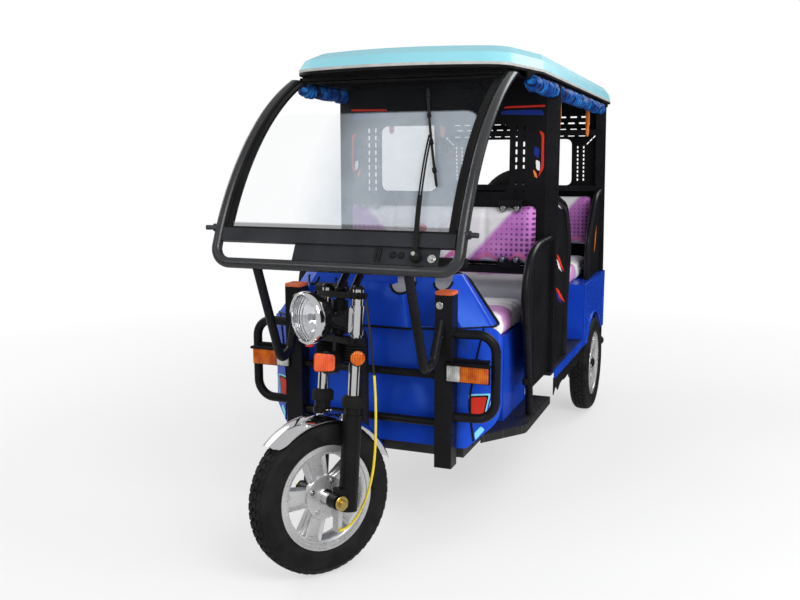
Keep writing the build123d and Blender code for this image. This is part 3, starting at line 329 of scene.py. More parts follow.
def tyreRubber():
    mat, tree, shader = nodeTree("tyreRubber")
    coord = coordOf(tree)
    dust = noiseOf(tree, coord, 16.0, 6.0)
    tree.links.new(rampOf(tree, dust, [(0.35, (0.006, 0.006, 0.006)), (0.70, (0.016, 0.015, 0.015))]),
                   shader.inputs["Base Color"])
    tree.links.new(spanOf(tree, dust, 0.3, 0.7, 0.50, 0.72), shader.inputs["Roughness"])
    bumpOf(tree, shader, noiseOf(tree, coord, 420.0, 2.0), 0.4, 0.0006)
    shader.inputs["Specular IOR Level"].default_value = 0.14
    return mat


def curtainCloth():
    mat, tree, shader = nodeTree("curtainCloth")
    coord = coordOf(tree)
    # painted light and shade of the folds: noise patches from near black to pale blue, and painted shade in the
    # gathers below
    patches = noiseOf(tree, coord, 22.0, 4.0)
    folds = rampOf(tree, patches, [(0.34, (0.001, 0.010, 0.07)), (0.5, (0.004, 0.060, 0.30)),
                                   (0.72, (0.018, 0.22, 0.62))])
    bands = addNode(tree, "ShaderNodeTexWave", Scale=19.0, Distortion=5.0)
    tree.links.new(coord, bands.inputs["Vector"])
    crease = spanOf(tree, bands.outputs["Fac"], 0.02, 0.22, 0.85, 0.0)  # shade in the gathers
    tree.links.new(mixOf(tree, crease, folds, (0.0005, 0.003, 0.02)), shader.inputs["Base Color"])
    shader.inputs["Roughness"].default_value = 0.42
    shader.inputs["Specular IOR Level"].default_value = 0.12
    bumpOf(tree, shader, noiseOf(tree, coord, 1500.0, 1.0), 0.4, 0.0004)
    return mat


lenses = {  # painted shaded colour, painted lit colour
    "amberLens": ((0.34, 0.040, 0.002), (0.62, 0.14, 0.006)),
    "whiteLens": ((0.30, 0.30, 0.29), (0.66, 0.66, 0.64)),
    "redLens": ((0.36, 0.006, 0.005), (0.66, 0.022, 0.014)),
    "reflectorRed": ((0.46, 0.040, 0.012), (0.70, 0.11, 0.03)),
}
finishes.update({name: ribbedLens(name, *colors) for name, colors in lenses.items()})
finishes.update(trimEdge=trimEdge(), cableSheath=cableSheath(), lampGlass=lampGlass(),
                screenSheet=screenSheet(),
                floorTread=floorTread(), tyreRubber=tyreRubber(), curtainCloth=curtainCloth())

nodeFinish = {
    "chassis_frame": "axleBlack", "steering_neck": "frameBlack", "floors": "floorTread", "sills": "bluePaint",
    "front_panel": "bluePaint", "front_cowl": "bluePaint", "front_guard": "frameBlack",
    "windscreen_hoop": "hoopBlack",
    "windscreen": "screenSheet", "screen_rail": "railGrey", "wiper": "wiperBlack", "seat_boxes": "bluePaint",
    "body_frame": "frameBlack", "body_panels": "panelBlack", "battery": "batteryGrey",
    "rear_quarters": "bluePaint",
    "side_guards": "frameBlack", "roof": "roofCyan", "roof_trim": "trimEdge", "roof_lining": "liningBlack",
    "rear_axle": "axleBlack", "leaf_springs": "springSteel", "rear_bumper": "frameBlack",
    "fork_tubes": "chrome",
    "fork_sliders": "forkBlack", "fork_clamps": "forkBlack", "handlebar": "forkBlack", "grips": "gripRubber",
    "front_mudguard": "chrome", "front_brake": "alloy", "lamps": "frameBlack", "headlamp": "forkBlack",
    "lamp_lens": "lampGlass",
    "seat_cushions": "decalWhite", "seat_backs": "decalWhite", "curtain_rolls": "curtainCloth",
    "hand_straps": "strapOrange",
    "brake_cable": "cableSheath",
}
for tyre in ("front_tyre", "rear_tyre_left", "rear_tyre_right", "spare_tyre"):
    nodeFinish[tyre] = "tyreRubber"
for rim in ("front_rim", "rear_rim_left", "rear_rim_right", "spare_rim"):
    nodeFinish[rim] = "alloy"
for name, node in nodes.items():
    node.data.materials.clear()
    node.data.materials.append(finishes[nodeFinish[name]])
print("finishes:", len(finishes))

# camera, floor and light
view = {"place": (3.5836, 1.1711, 1.2776), "forward": (-0.9204, -0.3595, -0.1535), "lens": 39.303}
camera = bpy.data.objects.new("photoCamera", bpy.data.cameras.new("photoCamera"))
camera.data.lens = view["lens"]
camera.data.sensor_width = 36.0
camera.location = view["place"]
camera.rotation_mode = "QUATERNION"
camera.rotation_quaternion = Vector(view["forward"]).to_track_quat("-Z", "Y")
scene.collection.objects.link(camera)
scene.camera = camera

studio = {
    "floorSize": 30.0, "floorWhite": 0.80, "floorGlow": 0.55, "fade": (1.9, 4.4), "worldFill": 0.58,
    "lamps": [  # name, place, aim, size, watts
        ("keySoft", (3.6, 3.4, 4.2), (0.2, 0.0, 0.8), 3.0, 130.0),
        ("frontFill", (4.6, -2.2, 2.2), (0.6, 0.0, 0.7), 2.5, 50.0),
        ("backRim", (-3.8, 2.2, 3.6), (-0.4, 0.0, 1.0), 2.5, 55.0),
        ("farSide", (-0.5, -4.2, 3.2), (0.0, 0.0, 0.8), 2.5, 55.0),
        ("doorFill", (1.3, 4.0, 1.3), (0.0, 0.0, 0.85), 2.0, 70.0),
    ],
    # dark cards for the metal and paint to mirror: name, place, size
    "cards": [("leftCard", (0.8, 5.0, 1.6), 2.0), ("rightCard", (3.9, -3.1, 1.6), 1.9),
              ("tailCard", (-4.6, -1.6, 1.6), 1.9), ("backCard", (-4.7, 2.2, 0.6), 2.2)],
}


def seenWhite(tree):  # 1 for what the camera sees
    return tree.nodes.new("ShaderNodeLightPath").outputs["Is Camera Ray"]


bm = bmesh.new()
bmesh.ops.create_grid(bm, x_segments=2, y_segments=2, size=studio["floorSize"])
floorMesh = bpy.data.meshes.new("studioFloor")
bm.to_mesh(floorMesh)
bm.free()
floor = bpy.data.objects.new("studioFloor", floorMesh)
scene.collection.objects.link(floor)
floor.visible_glossy = False
floorMat, tree, shader = nodeTree("studioFloor")
white = studio["floorWhite"]
shader.inputs["Base Color"].default_value = (white, white, white, 1.0)
shader.inputs["Roughness"].default_value = 0.9
glow = addNode(tree, "ShaderNodeEmission", Color=(1.0, 1.0, 1.0, 1.0), Strength=1.0)
blend = tree.nodes.new("ShaderNodeMixShader")
reach = addNode(tree, "ShaderNodeVectorMath", operation="LENGTH")
tree.links.new(coordOf(tree), reach.inputs[0])
faded = spanOf(tree, reach.outputs["Value"], *studio["fade"], studio["floorGlow"], 1.0)
tree.links.new(mathOf(tree, "MULTIPLY", seenWhite(tree), faded), blend.inputs[0])
tree.links.new(shader.outputs[0], blend.inputs[1])
tree.links.new(glow.outputs[0], blend.inputs[2])
tree.links.new(blend.outputs[0], tree.nodes["Material Output"].inputs["Surface"])
floorMesh.materials.append(floorMat)
floor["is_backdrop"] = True

world = bpy.data.worlds.new("studioWorld")
scene.world = world
world.use_nodes = True
tree = world.node_tree
background = tree.nodes["Background"]
background.inputs["Color"].default_value = (1.0, 1.0, 1.0, 1.0)
strength = mixOf(tree, seenWhite(tree), (studio["worldFill"],) * 3, (1.0, 1.0, 1.0))
tree.links.new(strength, background.inputs["Color"])
for name, place, aim, size, watts in studio["lamps"]:
    lamp = bpy.data.lights.new(name, "AREA")
    lamp.shape = "DISK"
    lamp.size = size
    lamp.energy = watts
    holder = bpy.data.objects.new(name, lamp)
    holder.location = place
    holder.rotation_mode = "QUATERNION"
    holder.rotation_quaternion = (Vector(aim) - Vector(place)).to_track_quat("-Z", "Y")
    scene.collection.objects.link(holder)
    holder.visible_glossy = name != "doorFill"
cardMat, tree, shader = nodeTree("darkCard")
shader.inputs["Base Color"].default_value = (0.01, 0.01, 0.012, 1.0)
shader.inputs["Specular IOR Level"].default_value = 0.0
for name, place, size in studio["cards"]:  # only reflections see them
    bm = bmesh.new()
    facing = (-Vector((place[0], place[1], 0))).to_track_quat("Z", "Y").to_matrix().to_4x4()
    bmesh.ops.create_grid(bm, x_segments=1, y_segments=1, size=size, matrix=Matrix.Translation(place)
                          @ facing)
    cardMesh = bpy.data.meshes.new(name)
    bm.to_mesh(cardMesh)
    bm.free()
    cardMesh.materials.append(cardMat)
    card = bpy.data.objects.new(name, cardMesh)
    scene.collection.objects.link(card)
    card.visible_camera = card.visible_diffuse = card.visible_transmission = card.visible_shadow = False
    card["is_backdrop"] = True
scene.view_settings.view_transform = "Standard"
print("camera, floor and light set")


# shape helpers: each gives a bmesh in metres, joined into a piece later
def addPiece(name, mesh, finishNames, body, sharp=38.0):
    piece = bpy.data.objects.new(name, mesh)
    scene.collection.objects.link(piece)
    for finishName in finishNames:
        mesh.materials.append(finishes[finishName])
    mesh.polygons.foreach_set("use_smooth", [True] * len(mesh.polygons))
    mesh.set_sharp_from_angle(angle=math.radians(sharp))
    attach(piece, body)
    return piece


def fromShape(name, bm, finishNames, body, sharp=38.0):
    mesh = bpy.data.meshes.new(name)
    bm.to_mesh(mesh)
    bm.free()
    return addPiece(name, mesh, finishNames, body, sharp)


def joinShape(bm, shape, finishIndex=0, matrix=None):
    if matrix:
        bmesh.ops.transform(shape, matrix=matrix, verts=shape.verts)
    for face in shape.faces:
        face.material_index = finishIndex
    holder = bpy.data.meshes.new("holder")
    shape.to_mesh(holder)
    shape.free()
    bm.from_mesh(holder)
    bpy.data.meshes.remove(holder)


def joinTurned(bm, shape, finishIndex, matrix):  # for places that may be mirrored
    bmesh.ops.transform(shape, matrix=matrix, verts=shape.verts)
    bmesh.ops.recalc_face_normals(shape, faces=shape.faces)
    joinShape(bm, shape, finishIndex)


def softenEdges(bm, width, segments=2, angle=30.0):
    edges = [e for e in bm.edges if e.is_manifold and e.calc_face_angle() > math.radians(angle)]
    bmesh.ops.bevel(bm, geom=edges, offset=width, offset_type="OFFSET", segments=segments, profile=0.5,
                    affect="EDGES",
                    material=-1, clamp_overlap=True)


def boxShape(low, high, edge=0.0, segments=2):  # mm, in the drawing's or a group's own axes
    bm = bmesh.new()
    low, high = Vector(low) / 1000, Vector(high) / 1000
    bmesh.ops.create_cube(bm, size=1.0, matrix=Matrix.Translation((low + high) / 2)
                          @ Matrix.Diagonal((*(high - low), 1.0)))
    if edge:
        softenEdges(bm, edge / 1000, segments)
    return bm


def sideBox(side, low, high, edge):  # y counts outward from the middle
    y0, y1 = sorted((side * low[1], side * high[1]))
    return boxShape((low[0], y0, low[2]), (high[0], y1, high[2]), edge)


def spinShape(profile, steps=48, closed=False):  # profile of (radius, height) in mm, spun about z
    bm = bmesh.new()
    verts = [bm.verts.new((r / 1000, 0.0, z / 1000)) for r, z in profile]
    pairs = list(zip(verts, verts[1:])) + ([(verts[-1], verts[0])] if closed else [])
    edges = [bm.edges.new(pair) for pair in pairs]
    bmesh.ops.spin(bm, geom=verts + edges, cent=(0, 0, 0), axis=(0, 0, 1), angle=math.tau, steps=steps,
                   use_merge=True)
    bmesh.ops.remove_doubles(bm, verts=bm.verts, dist=1e-6)
    bmesh.ops.recalc_face_normals(bm, faces=bm.faces)
    return bm


def ringOf(shape, count):  # copies evenly spaced about z
    bmesh.ops.spin(shape, geom=shape.verts[:] + shape.edges[:] + shape.faces[:], cent=(0, 0, 0),
                   axis=(0, 0, 1),
                   angle=math.tau * (count - 1) / count, steps=count - 1, use_duplicate=True)


def hexShape(across, height):
    bm = bmesh.new()
    corner = across / 1732  # from the width across flats in mm
    bmesh.ops.create_cone(bm, cap_ends=True, segments=6, radius1=corner, radius2=corner, depth=height / 1000)
    bmesh.ops.translate(bm, vec=(0, 0, height / 2000), verts=bm.verts)
    softenEdges(bm, across / 14000, 1)
    return bm


def boltShape(across):  # washer and hexagon head
    bm = spinShape([(0, 0), (across * 0.95, 0), (across * 0.95, across * 0.10), (across * 0.9, across * 0.14),
                    (0, across * 0.14)], 20)
    joinShape(bm, hexShape(across, across * 0.62), 0, Matrix.Translation((0, 0, across * 0.12 / 1000)))
    return bm


def roundLine(points, bend, steps=6):  # corners of a rigid tube or plate made round
    line = [Vector(points[0])]
    for before, corner, after in zip(points, points[1:], points[2:]):
        corner = Vector(corner)
        back, ahead = Vector(before) - corner, Vector(after) - corner
        reach = min(bend, back.length * 0.48, ahead.length * 0.48)
        first, last = corner + back.normalized() * reach, corner + ahead.normalized() * reach
        for step in range(steps + 1):
            t = step / steps
            line.append(first.lerp(corner, t).lerp(corner.lerp(last, t), t))
    return line + [Vector(points[-1])]


def tubeShape(points, radius, bend=0.0, sides=4, closed=False):  # points in metres, radius and bend in mm
    curve = bpy.data.curves.new("tube", "CURVE")
    curve.dimensions = "3D"
    line = roundLine(points, bend / 1000) if bend else [Vector(p) for p in points]
    spline = curve.splines.new("POLY")
    spline.points.add(len(line) - 1)
    for point, place in zip(spline.points, line):
        point.co = (*place, 1.0)
    spline.use_cyclic_u = closed
    curve.bevel_depth = radius / 1000
    curve.bevel_resolution = sides
    curve.use_fill_caps = True
    return curveShape(curve)


def curveShape(curve):
    holder = bpy.data.objects.new("holder", curve)
    mesh = bpy.data.meshes.new_from_object(holder)
    bm = bmesh.new()
    bm.from_mesh(mesh)
    bpy.data.objects.remove(holder)
    bpy.data.meshes.remove(mesh)
    bmesh.ops.remove_doubles(bm, verts=bm.verts, dist=1e-6)
    bmesh.ops.recalc_face_normals(bm, faces=bm.faces)
    return bm


def plateShape(outline, holes, thick, edge=0.0):  # a flat filled curve in x and y, mm
    curve = bpy.data.curves.new("plate", "CURVE")
    curve.dimensions = "2D"
    curve.fill_mode = "BOTH"
    curve.extrude = thick / 2000
    curve.bevel_depth = edge / 1000
    curve.bevel_resolution = 1
    for loop in [outline] + holes:
        spline = curve.splines.new("POLY")
        spline.points.add(len(loop) - 1)
        for point, place in zip(spline.points, loop):
            point.co = (place[0] / 1000, place[1] / 1000, 0.0, 1.0)
        spline.use_cyclic_u = True
    return curveShape(curve)


def roundLoop(points, bend, steps=4):  # closed outline with round corners, mm
    count = len(points)
    loop = []
    for i in range(count):
        corner = Vector((*points[i], 0))
        back, ahead = Vector((*points[i - 1], 0)) - corner, Vector((*points[(i + 1) % count], 0)) - corner
        reach = min(bend, back.length * 0.48, ahead.length * 0.48)
        first, last = corner + back.normalized() * reach, corner + ahead.normalized() * reach
        for step in range(steps + 1):
            t = step / steps
            place = first.lerp(corner, t).lerp(corner.lerp(last, t), t)
            loop.append((place.x, place.y))
    return loop


def slotLoop(x, y, width, height, turn=0.0):
    c, s = math.cos(math.radians(turn)), math.sin(math.radians(turn))
    half = [(-width / 2, -height / 2), (width / 2, -height / 2), (width / 2, height / 2),
            (-width / 2, height / 2)]
    return roundLoop([(x + a * c - b * s, y + a * s + b * c) for a, b in half], min(width, height) / 2, 3)


def along(place, axis):  # local z along the axis
    axis = Vector(axis).normalized()
    up = "Y" if abs(axis.y) < 0.9 else "X"
    return Matrix.Translation(Vector(place)) @ axis.to_track_quat("Z", up).to_matrix().to_4x4()


def rectangle(half, low, top):
    return [(-half, low), (half, low), (half, top), (-half, top)]


drawing = Matrix.Translation((rearAxleX, 0, 0))  # the drawing's origin on the ground under the rear axle
facingY = Matrix(((1, 0, 0, 0), (0, 0, -1, 0), (0, 1, 0, 0), (0, 0, 0, 1)))  # plate's x and y become x and z
facingX = Matrix(((0, 0, 1, 0), (1, 0, 0, 0), (0, 1, 0, 0), (0, 0, 0, 1)))  # plate's x and y become y and z

# wheels
wheel = {
    "tyreHalf": [(153.0, 34.5), (166.4, 34.7), (170.0, 38.6), (178.0, 43.0), (181.0, 44.6), (183.0, 44.4),
                 (194.0, 47.0), (205.0, 48.2),
                 (214.0, 47.4), (219.0, 46.4), (220.5, 46.9), (223.0, 46.0), (230.0, 41.6), (234.5, 36.5),
                 (237.5, 29.0), (239.5, 18.0),
                 (240.2, 8.0)],
    "blocks": 52,
    # y, width, top radius, length, slant
    "rows": [(9.8, 16.0, 244.4, 23.0, 16.0), (28.5, 14.5, 240.6, 24.0, -14.0)],
    "barrel": [(134.0, -8.0), (136.0, -26.0), (143.0, -33.0), (150.0, -34.0), (152.0, -37.5), (158.0, -38.0),
               (160.0, -39.0), (165.5, -39.0),
               (166.0, -35.5), (152.6, -33.0), (152.4, 0.0), (152.6, 33.0), (166.0, 35.5), (165.5, 39.0),
               (160.0, 39.0), (158.0, 38.0),
               (152.0, 37.5), (150.0, 34.0), (143.0, 33.0), (136.0, 26.0), (134.0, 8.0)],
    "spokes": 5, "spokeIn": 46.0, "spokeOut": 140.0, "spokeWide": (52.0, 66.0), "spokeDeep": (24.0, 32.0),
    "groove": 7.0,
}


def tyreShape():
    half = wheel["tyreHalf"]
    profile = [(r, -y) for r, y in half] + [(r, y) for r, y in reversed(half)]
    bm = spinShape(profile, 96, closed=True)
    for y, width, top, long, slant in wheel["rows"]:
        for side in (1, -1):
            block = boxShape((top - 7.0, -long / 2, -width / 2), (top, long / 2, width / 2))
            upper = [v for v in block.verts if v.co.x > (top - 1) / 1000]
            bmesh.ops.scale(block, vec=(1, 0.82, 0.86), verts=upper)
            bmesh.ops.rotate(block, cent=(0, 0, 0),
                             matrix=Matrix.Rotation(math.radians(slant * side), 3, "X"), verts=block.verts)
            lean = 26.0 if y > 20 else 5.0
            bmesh.ops.rotate(block, cent=(top / 1000, 0, 0),
                             matrix=Matrix.Rotation(math.radians(-lean * side), 3, "Y"), verts=block.verts)
            bmesh.ops.translate(block, vec=(0, 0, y * side / 1000), verts=block.verts)
            start = math.pi / wheel["blocks"] if side < 0 else 0.0
            bmesh.ops.rotate(block, cent=(0, 0, 0), matrix=Matrix.Rotation(start, 3, "Z"), verts=block.verts)
            ringOf(block, wheel["blocks"])
            joinShape(bm, block)
    return bm


def rimShape(hubR, hubIn, hubOut):  # barrel, spokes on both faces and hub
    bm = spinShape(wheel["barrel"], 96, closed=True)
    (wideIn, wideOut), (deepIn, deepOut) = wheel["spokeWide"], wheel["spokeDeep"]
    for face in (1, -1):
        spoke = boxShape((wheel["spokeIn"], -wideIn / 2, -2.0), (wheel["spokeOut"], wideIn / 2, deepIn))
        outer = [v for v in spoke.verts if v.co.x > 0.1]
        bmesh.ops.scale(spoke, vec=(1, wideOut / wideIn, deepOut / deepIn), verts=outer)
        top = [f for f in spoke.faces if f.normal.z > 0.6]
        bmesh.ops.inset_region(spoke, faces=top, thickness=0.011, depth=0.0, use_even_offset=True)
        bmesh.ops.translate(spoke, vec=(0, 0, -wheel["groove"] / 1000),
                            verts=list({v for f in top for v in f.verts}))
        softenEdges(spoke, 0.0035, 2, 20)
        ringOf(spoke, wheel["spokes"])
        if face < 0:
            bmesh.ops.transform(spoke, matrix=Matrix.Rotation(math.pi, 4, "X"), verts=spoke.verts)
        joinShape(bm, spoke)
    hub = spinShape([(12.6, -hubIn), (hubR - 8, -hubIn), (hubR - 3, -hubIn + 2), (hubR, -hubIn + 8),
                     (hubR, hubOut - 8), (hubR - 3, hubOut - 2),
                     (hubR - 8, hubOut), (hubR - 18, hubOut), (hubR - 20, hubOut - 3), (12.6, hubOut - 3)],
                     48, closed=True)
    joinShape(bm, hub)
    return bm


wheelStands = {  # place, body, tyre node, rim node, hub radius, hub's reach inward and outward
    "front": (forkMatrix @ movedBy(steering["offset"]), "front_wheel", "front_tyre", "front_rim", 58.0, 17.0,
              17.0),
    "rearLeft": (Matrix.Translation(at(0, 445, 245)), "rear_wheel_left", "rear_tyre_left", "rear_rim_left",
                 52.0, 20.0, 30.0),
    "rearRight": (Matrix.Translation(at(0, -445, 245)) @ Matrix.Rotation(math.pi, 4, "Z"), "rear_wheel_right",
                  "rear_tyre_right", "rear_rim_right", 52.0, 20.0, 30.0),
    "spare": (Matrix.Translation(at(-327.5, 0, 1010)) @ Matrix.Rotation(math.radians(5.71), 4, "Y")
              @ Matrix.Rotation(math.radians(-90), 4, "Z"),
              "chassis", "spare_tyre", "spare_rim", 46.0, 18.0, 18.0),
}
axleAlongY = Matrix.Rotation(math.radians(-90), 4, "X")  # local z becomes y
for tag, (stand, body, tyreNode, rimNode, hubR, hubIn, hubOut) in wheelStands.items():
    turn = stand @ axleAlongY
    bm = bmesh.new()
    joinShape(bm, tyreShape(), 0, turn)
    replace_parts(fromShape(tag + "Tyre", bm, ["tyreRubber"], body, 50), tyreNode)
    bm = bmesh.new()
    joinShape(bm, rimShape(hubR, hubIn, hubOut), 0, turn)
    for i in range(5 if tag != "front" else 0):
        a = math.tau * i / 5 + 0.3
        place = movedBy(34 * math.cos(a), 34 * math.sin(a), hubOut - 3)
        joinShape(bm, boltShape(11), 1, turn @ place)
    if tag.startswith("rear"):  # dust cap over the hub
        cap = spinShape([(0, 44), (16, 43), (24, 38), (26, 30), (26, hubOut - 3), (0, hubOut - 3)], 32)
        joinShape(bm, cap, 2, turn)
    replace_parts(fromShape(tag + "Rim", bm, ["alloy", "boltZinc", "forkBlack"], body), rimNode)
print("wheels made:", len(wheelStands))

# headlamp: bowl, rim, reflector, bulb and lens about its own axis
lampSet = {
    "place": (121.0, 0.0, 560.0),
    "bowl": [(0, -78), (28, -77), (50, -66), (68, -46), (76, -24), (78, -4), (78, 6), (74, 6), (73, -22),
             (64, -44), (48, -61), (0, -72)],
    "rim": [(71.5, 4), (78, -14), (82, -15), (84, -8), (84, 2), (82, 10), (77, 15), (72.5, 13), (71, 8)],
    "reflector": [(9, -54), (22, -50), (42, -34), (58, -14), (66, 1), (70, 7)],
    "lens": [(0, 22), (20, 21), (40, 17.5), (58, 12), (71.5, 7), (71.5, 4), (58, 8.5), (40, 14), (20, 17.5),
             (0, 18.5)],
}
lampMatrix = (forkMatrix @ Matrix.Translation(Vector(lampSet["place"]) / 1000)
              @ Matrix.Rotation(math.radians(steering["rake"] + 90), 4, "Y"))
bm = bmesh.new()
joinShape(bm, spinShape(lampSet["bowl"], 56), 0, lampMatrix)
joinShape(bm, spinShape(lampSet["rim"], 72, closed=True), 1, lampMatrix)
joinShape(bm, spinShape(lampSet["reflector"], 56), 1, lampMatrix)
# bulb
joinShape(bm, spinShape([(0, -8), (8, -11), (11, -18), (11, -38), (9, -54), (0, -54)], 24), 2, lampMatrix)
joinShape(bm, boxShape((78, -13, -12), (90, 13, 6), 3), 3, lampMatrix)  # red marker under the rim
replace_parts(fromShape("headlampBowl", bm, ["forkBlack", "chrome", "whiteLens", "redLens"], "steering"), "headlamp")
bm = bmesh.new()
joinShape(bm, spinShape(lampSet["lens"], 56), 0, lampMatrix)
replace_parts(fromShape("headlampLens", bm, ["lampGlass"], "steering"), "lamp_lens")

# fork trim: ribbed sleeves, collars, reflectors, axle nuts and clamp bolts
forkTrim = {"sleeve": (428.0, 488.0, 27.0, 34.0, 7), "amber": (0.42, 0.91), "red": (0.72, 0.69),
            "redPlace": (79.0, 49.5, 427.0)}
legX, legY = steering["legX"], steering["legY"]
bm = bmesh.new()
low, high, inner, outer, ribs = forkTrim["sleeve"]
profile = [(19, low)]
for rib in range(ribs):
    z = low + (high - low) * rib / ribs
    pitch = (high - low) / ribs
    profile += [(inner, z + pitch * 0.05), (outer, z + pitch * 0.35), (outer, z + pitch * 0.6),
                (inner, z + pitch * 0.9)]
profile += [(19, high)]
for side in (1, -1):
    joinShape(bm, spinShape(profile, 40), 0, forkMatrix @ movedBy(legX, side * legY))
    collar = spinShape([(19, 290), (34, 290), (35, 293), (35, 318), (32, 322), (26, 326), (19, 327)], 40)
    joinShape(bm, collar, 0, forkMatrix @ movedBy(legX, side * legY))
fromShape("forkSleeves", bm, ["gripRubber"], "steering")
bm = bmesh.new()
a, b = forkTrim["amber"]
place = forkAt(legX + 33 * a, legY + 33 * b, 446)
axis = forkMatrix.to_3x3() @ Vector((a, b, 0))
joinShape(bm, spinShape([(0, 0), (25, 0), (26, 2), (26, 8), (24, 10), (22, 10)], 40), 0, along(place, axis))
joinShape(bm, spinShape([(22.5, 6), (22.5, 10), (20, 12), (8, 12.8), (0, 13)], 40), 1, along(place, axis))
a, b = forkTrim["red"]
place = forkAt(*forkTrim["redPlace"])
axis = forkMatrix.to_3x3() @ Vector((a, b, 0))
frontOf = along(place, axis) @ Matrix.Rotation(math.radians(90), 4, "Z")
for half, tall, thick, lift, field in ((29, 33, 10, -2, 0), (27, 31, 8, 3, 2)):
    outline = roundLoop([(-half * 0.86, -tall), (half * 0.86, -tall), (half, tall), (-half, tall)], 10)
    joinShape(bm, plateShape(outline, [], thick, 1.8), field, frontOf @ movedBy(0, 0, lift))
joinShape(bm, tubeShape([place, forkAt(45, 26, 424)], 12), 0)  # stalk to the horn
fromShape("forkReflectors", bm, ["forkBlack", "amberLens", "reflectorRed"], "steering")
bm = bmesh.new()
for side in (1, -1):
    outward = Matrix.Rotation(math.radians(-90 * side), 4, "X")
    joinShape(bm, boltShape(24), 0, forkMatrix @ movedBy(steering["offset"], side * 117) @ outward)
joinShape(bm, boltShape(30), 1, forkMatrix @ movedBy(steering["offset"], 28.5) @ axleAlongY)
for angle in (20, 110, 160, 230, 300):
    a = math.radians(angle)
    place = movedBy(steering["offset"] + 54 * math.cos(a), 28.5, 54 * math.sin(a))
    joinShape(bm, boltShape(9), 1, forkMatrix @ place @ axleAlongY)
fromShape("axleNuts", bm, ["zincYellow", "boltZinc"], "steering")
bm = bmesh.new()
for side in (1, -1):  # clamp bolts and top caps
    outward = forkMatrix.to_3x3() @ Vector((0, side, 0))
    for z in (496, 636):
        joinShape(bm, boltShape(12), 0, along(forkAt(legX + 20, side * 117, z), outward))
    cap = spinShape([(0, 668), (14, 668), (17, 665), (18.5, 660), (18.5, 646), (0, 646)], 32)
    joinShape(bm, cap, 0, forkMatrix @ movedBy(legX, side * legY))
joinShape(bm, hexShape(34, 14), 0, forkMatrix @ Matrix.Translation((0, 0, 0.646)))
fromShape("clampBolts", bm, ["forkBlack"], "steering")

# cut-outs of the lamp brackets, shown as dark inlays on both faces
ears = {"y": (78.1, 83.5), "outline": [(26, 583), (78, 567), (84, 560), (78, 553), (26, 537), (34, 560)]}
bm = bmesh.new()
for side in (1, -1):
    for y in ears["y"]:
        inlay = plateShape(roundLoop(ears["outline"], 5), [], 0.8)
        joinShape(bm, inlay, 0, forkMatrix @ movedBy(0, side * y) @ facingY)
fromShape("bracketInlays", bm, ["forkBlack"], "steering")

# brake cable: one smooth line from the clamp to the brake arm
cable = {"route": [(-27, 102, 624), (-38, 132, 470), (-58, 142, 300), (-72, 130, 60), (-51, 54.3, -104),
                   (-3, 54.3, -104)], "radius": 4.0}
curve = bpy.data.curves.new("brakeCable", "CURVE")
curve.dimensions = "3D"
spline = curve.splines.new("NURBS")
spline.points.add(len(cable["route"]) - 1)
for point, place in zip(spline.points, cable["route"]):
    point.co = (*forkAt(*place), 1.0)
spline.order_u = 3
spline.use_endpoint_u = True
spline.resolution_u = 16
curve.bevel_depth = cable["radius"] / 1000
curve.bevel_resolution = 3
curve.use_fill_caps = True
curve.materials.append(finishes["cableSheath"])
piece = bpy.data.objects.new("brakeCable", curve)
scene.collection.objects.link(piece)
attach(piece, "steering")
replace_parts(piece, "brake_cable")
print("steering dressed")

# front guard: orange caps and bolts
posts = {"x": (1822.0, 1882.0), "y": (248.0, 308.0), "top": 860.0, "bolts": [(264.0, 820.0), (264.0, 718.0)]}
bm = bmesh.new()
for side in (1, -1):
    (x0, x1), (y0, y1) = posts["x"], posts["y"]
    cap = sideBox(side, (x0 - 1, y0 - 1, posts["top"] - 7), (x1 + 1, y1 + 1, posts["top"] + 7), 4)
    joinShape(bm, cap, 0, drawing)
fromShape("postCaps", bm, ["capOrange"], "chassis")
bm = bmesh.new()
for side in (1, -1):
    for y, z in posts["bolts"]:
        joinShape(bm, boltShape(13), 0, along(at(posts["x"][1], side * y, z), (1, 0, 0)))
fromShape("guardBolts", bm, ["boltZinc"], "chassis")

# front lamps: clear inner third, amber outer part; tail lamps in three fields
lampBoxes = {"front": (1884.0, 1899.0, 290.0, 440.0, 568.0, 632.0),
             "tail": (-334.0, -310.0, 384.0, 468.0, 540.0, 640.0)}
bm = bmesh.new()
for side in (1, -1):
    x0, x1, y0, y1, z0, z1 = lampBoxes["front"]
    place = drawing @ Matrix.Diagonal((1, side, 1, 1))
    split = y0 + 50
    parts = [boxShape((x0 - 1, y0, z0), (x1 - 10, y1, z1), 3, 2),
             boxShape((x1 - 12, y0 + 4, z0 + 4), (x1 - 1, split, z1 - 4), 4, 3),
             boxShape((x1 - 12, split + 0.5, z0 + 4), (x1 - 1, y1 - 4, z1 - 4), 4, 3),
             boxShape((x0 - 1, y0 - 3, z1 - 6), (x1 + 4, y1 + 3, z1 + 3), 2),
             boxShape((1841, 318, z0 + 2), (x0, 426, z1 - 2), 4)]
    for shape, field in zip(parts, (0, 1, 2, 0, 0)):
        joinTurned(bm, shape, field, place)
    x0, x1, y0, y1, z0, z1 = lampBoxes["tail"]
    third = (z1 - z0) / 3
    parts = [boxShape((x0 + 10, y0, z0), (x1, y1, z1), 4)]
    parts += [boxShape((x0, y0 + 4, z0 + 4 + third * i - (i > 0) * 3),
                       (x0 + 13, y1 - 4, z0 + third * (i + 1) - 1), 4, 3) for i in range(3)]
    for shape, field in zip(parts, (0, 1, 2, 3)):
        joinTurned(bm, shape, field, place)
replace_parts(fromShape("lampSets", bm, ["panelBlack", "whiteLens", "amberLens", "redLens"], "chassis"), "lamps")


# wiper and screen edges, laid on the bent screen
def hoopAt(r, angle, y):
    a = math.radians(angle)
    return at(hoop["x"] + r * math.cos(a), y, hoop["z"] + r * math.sin(a))


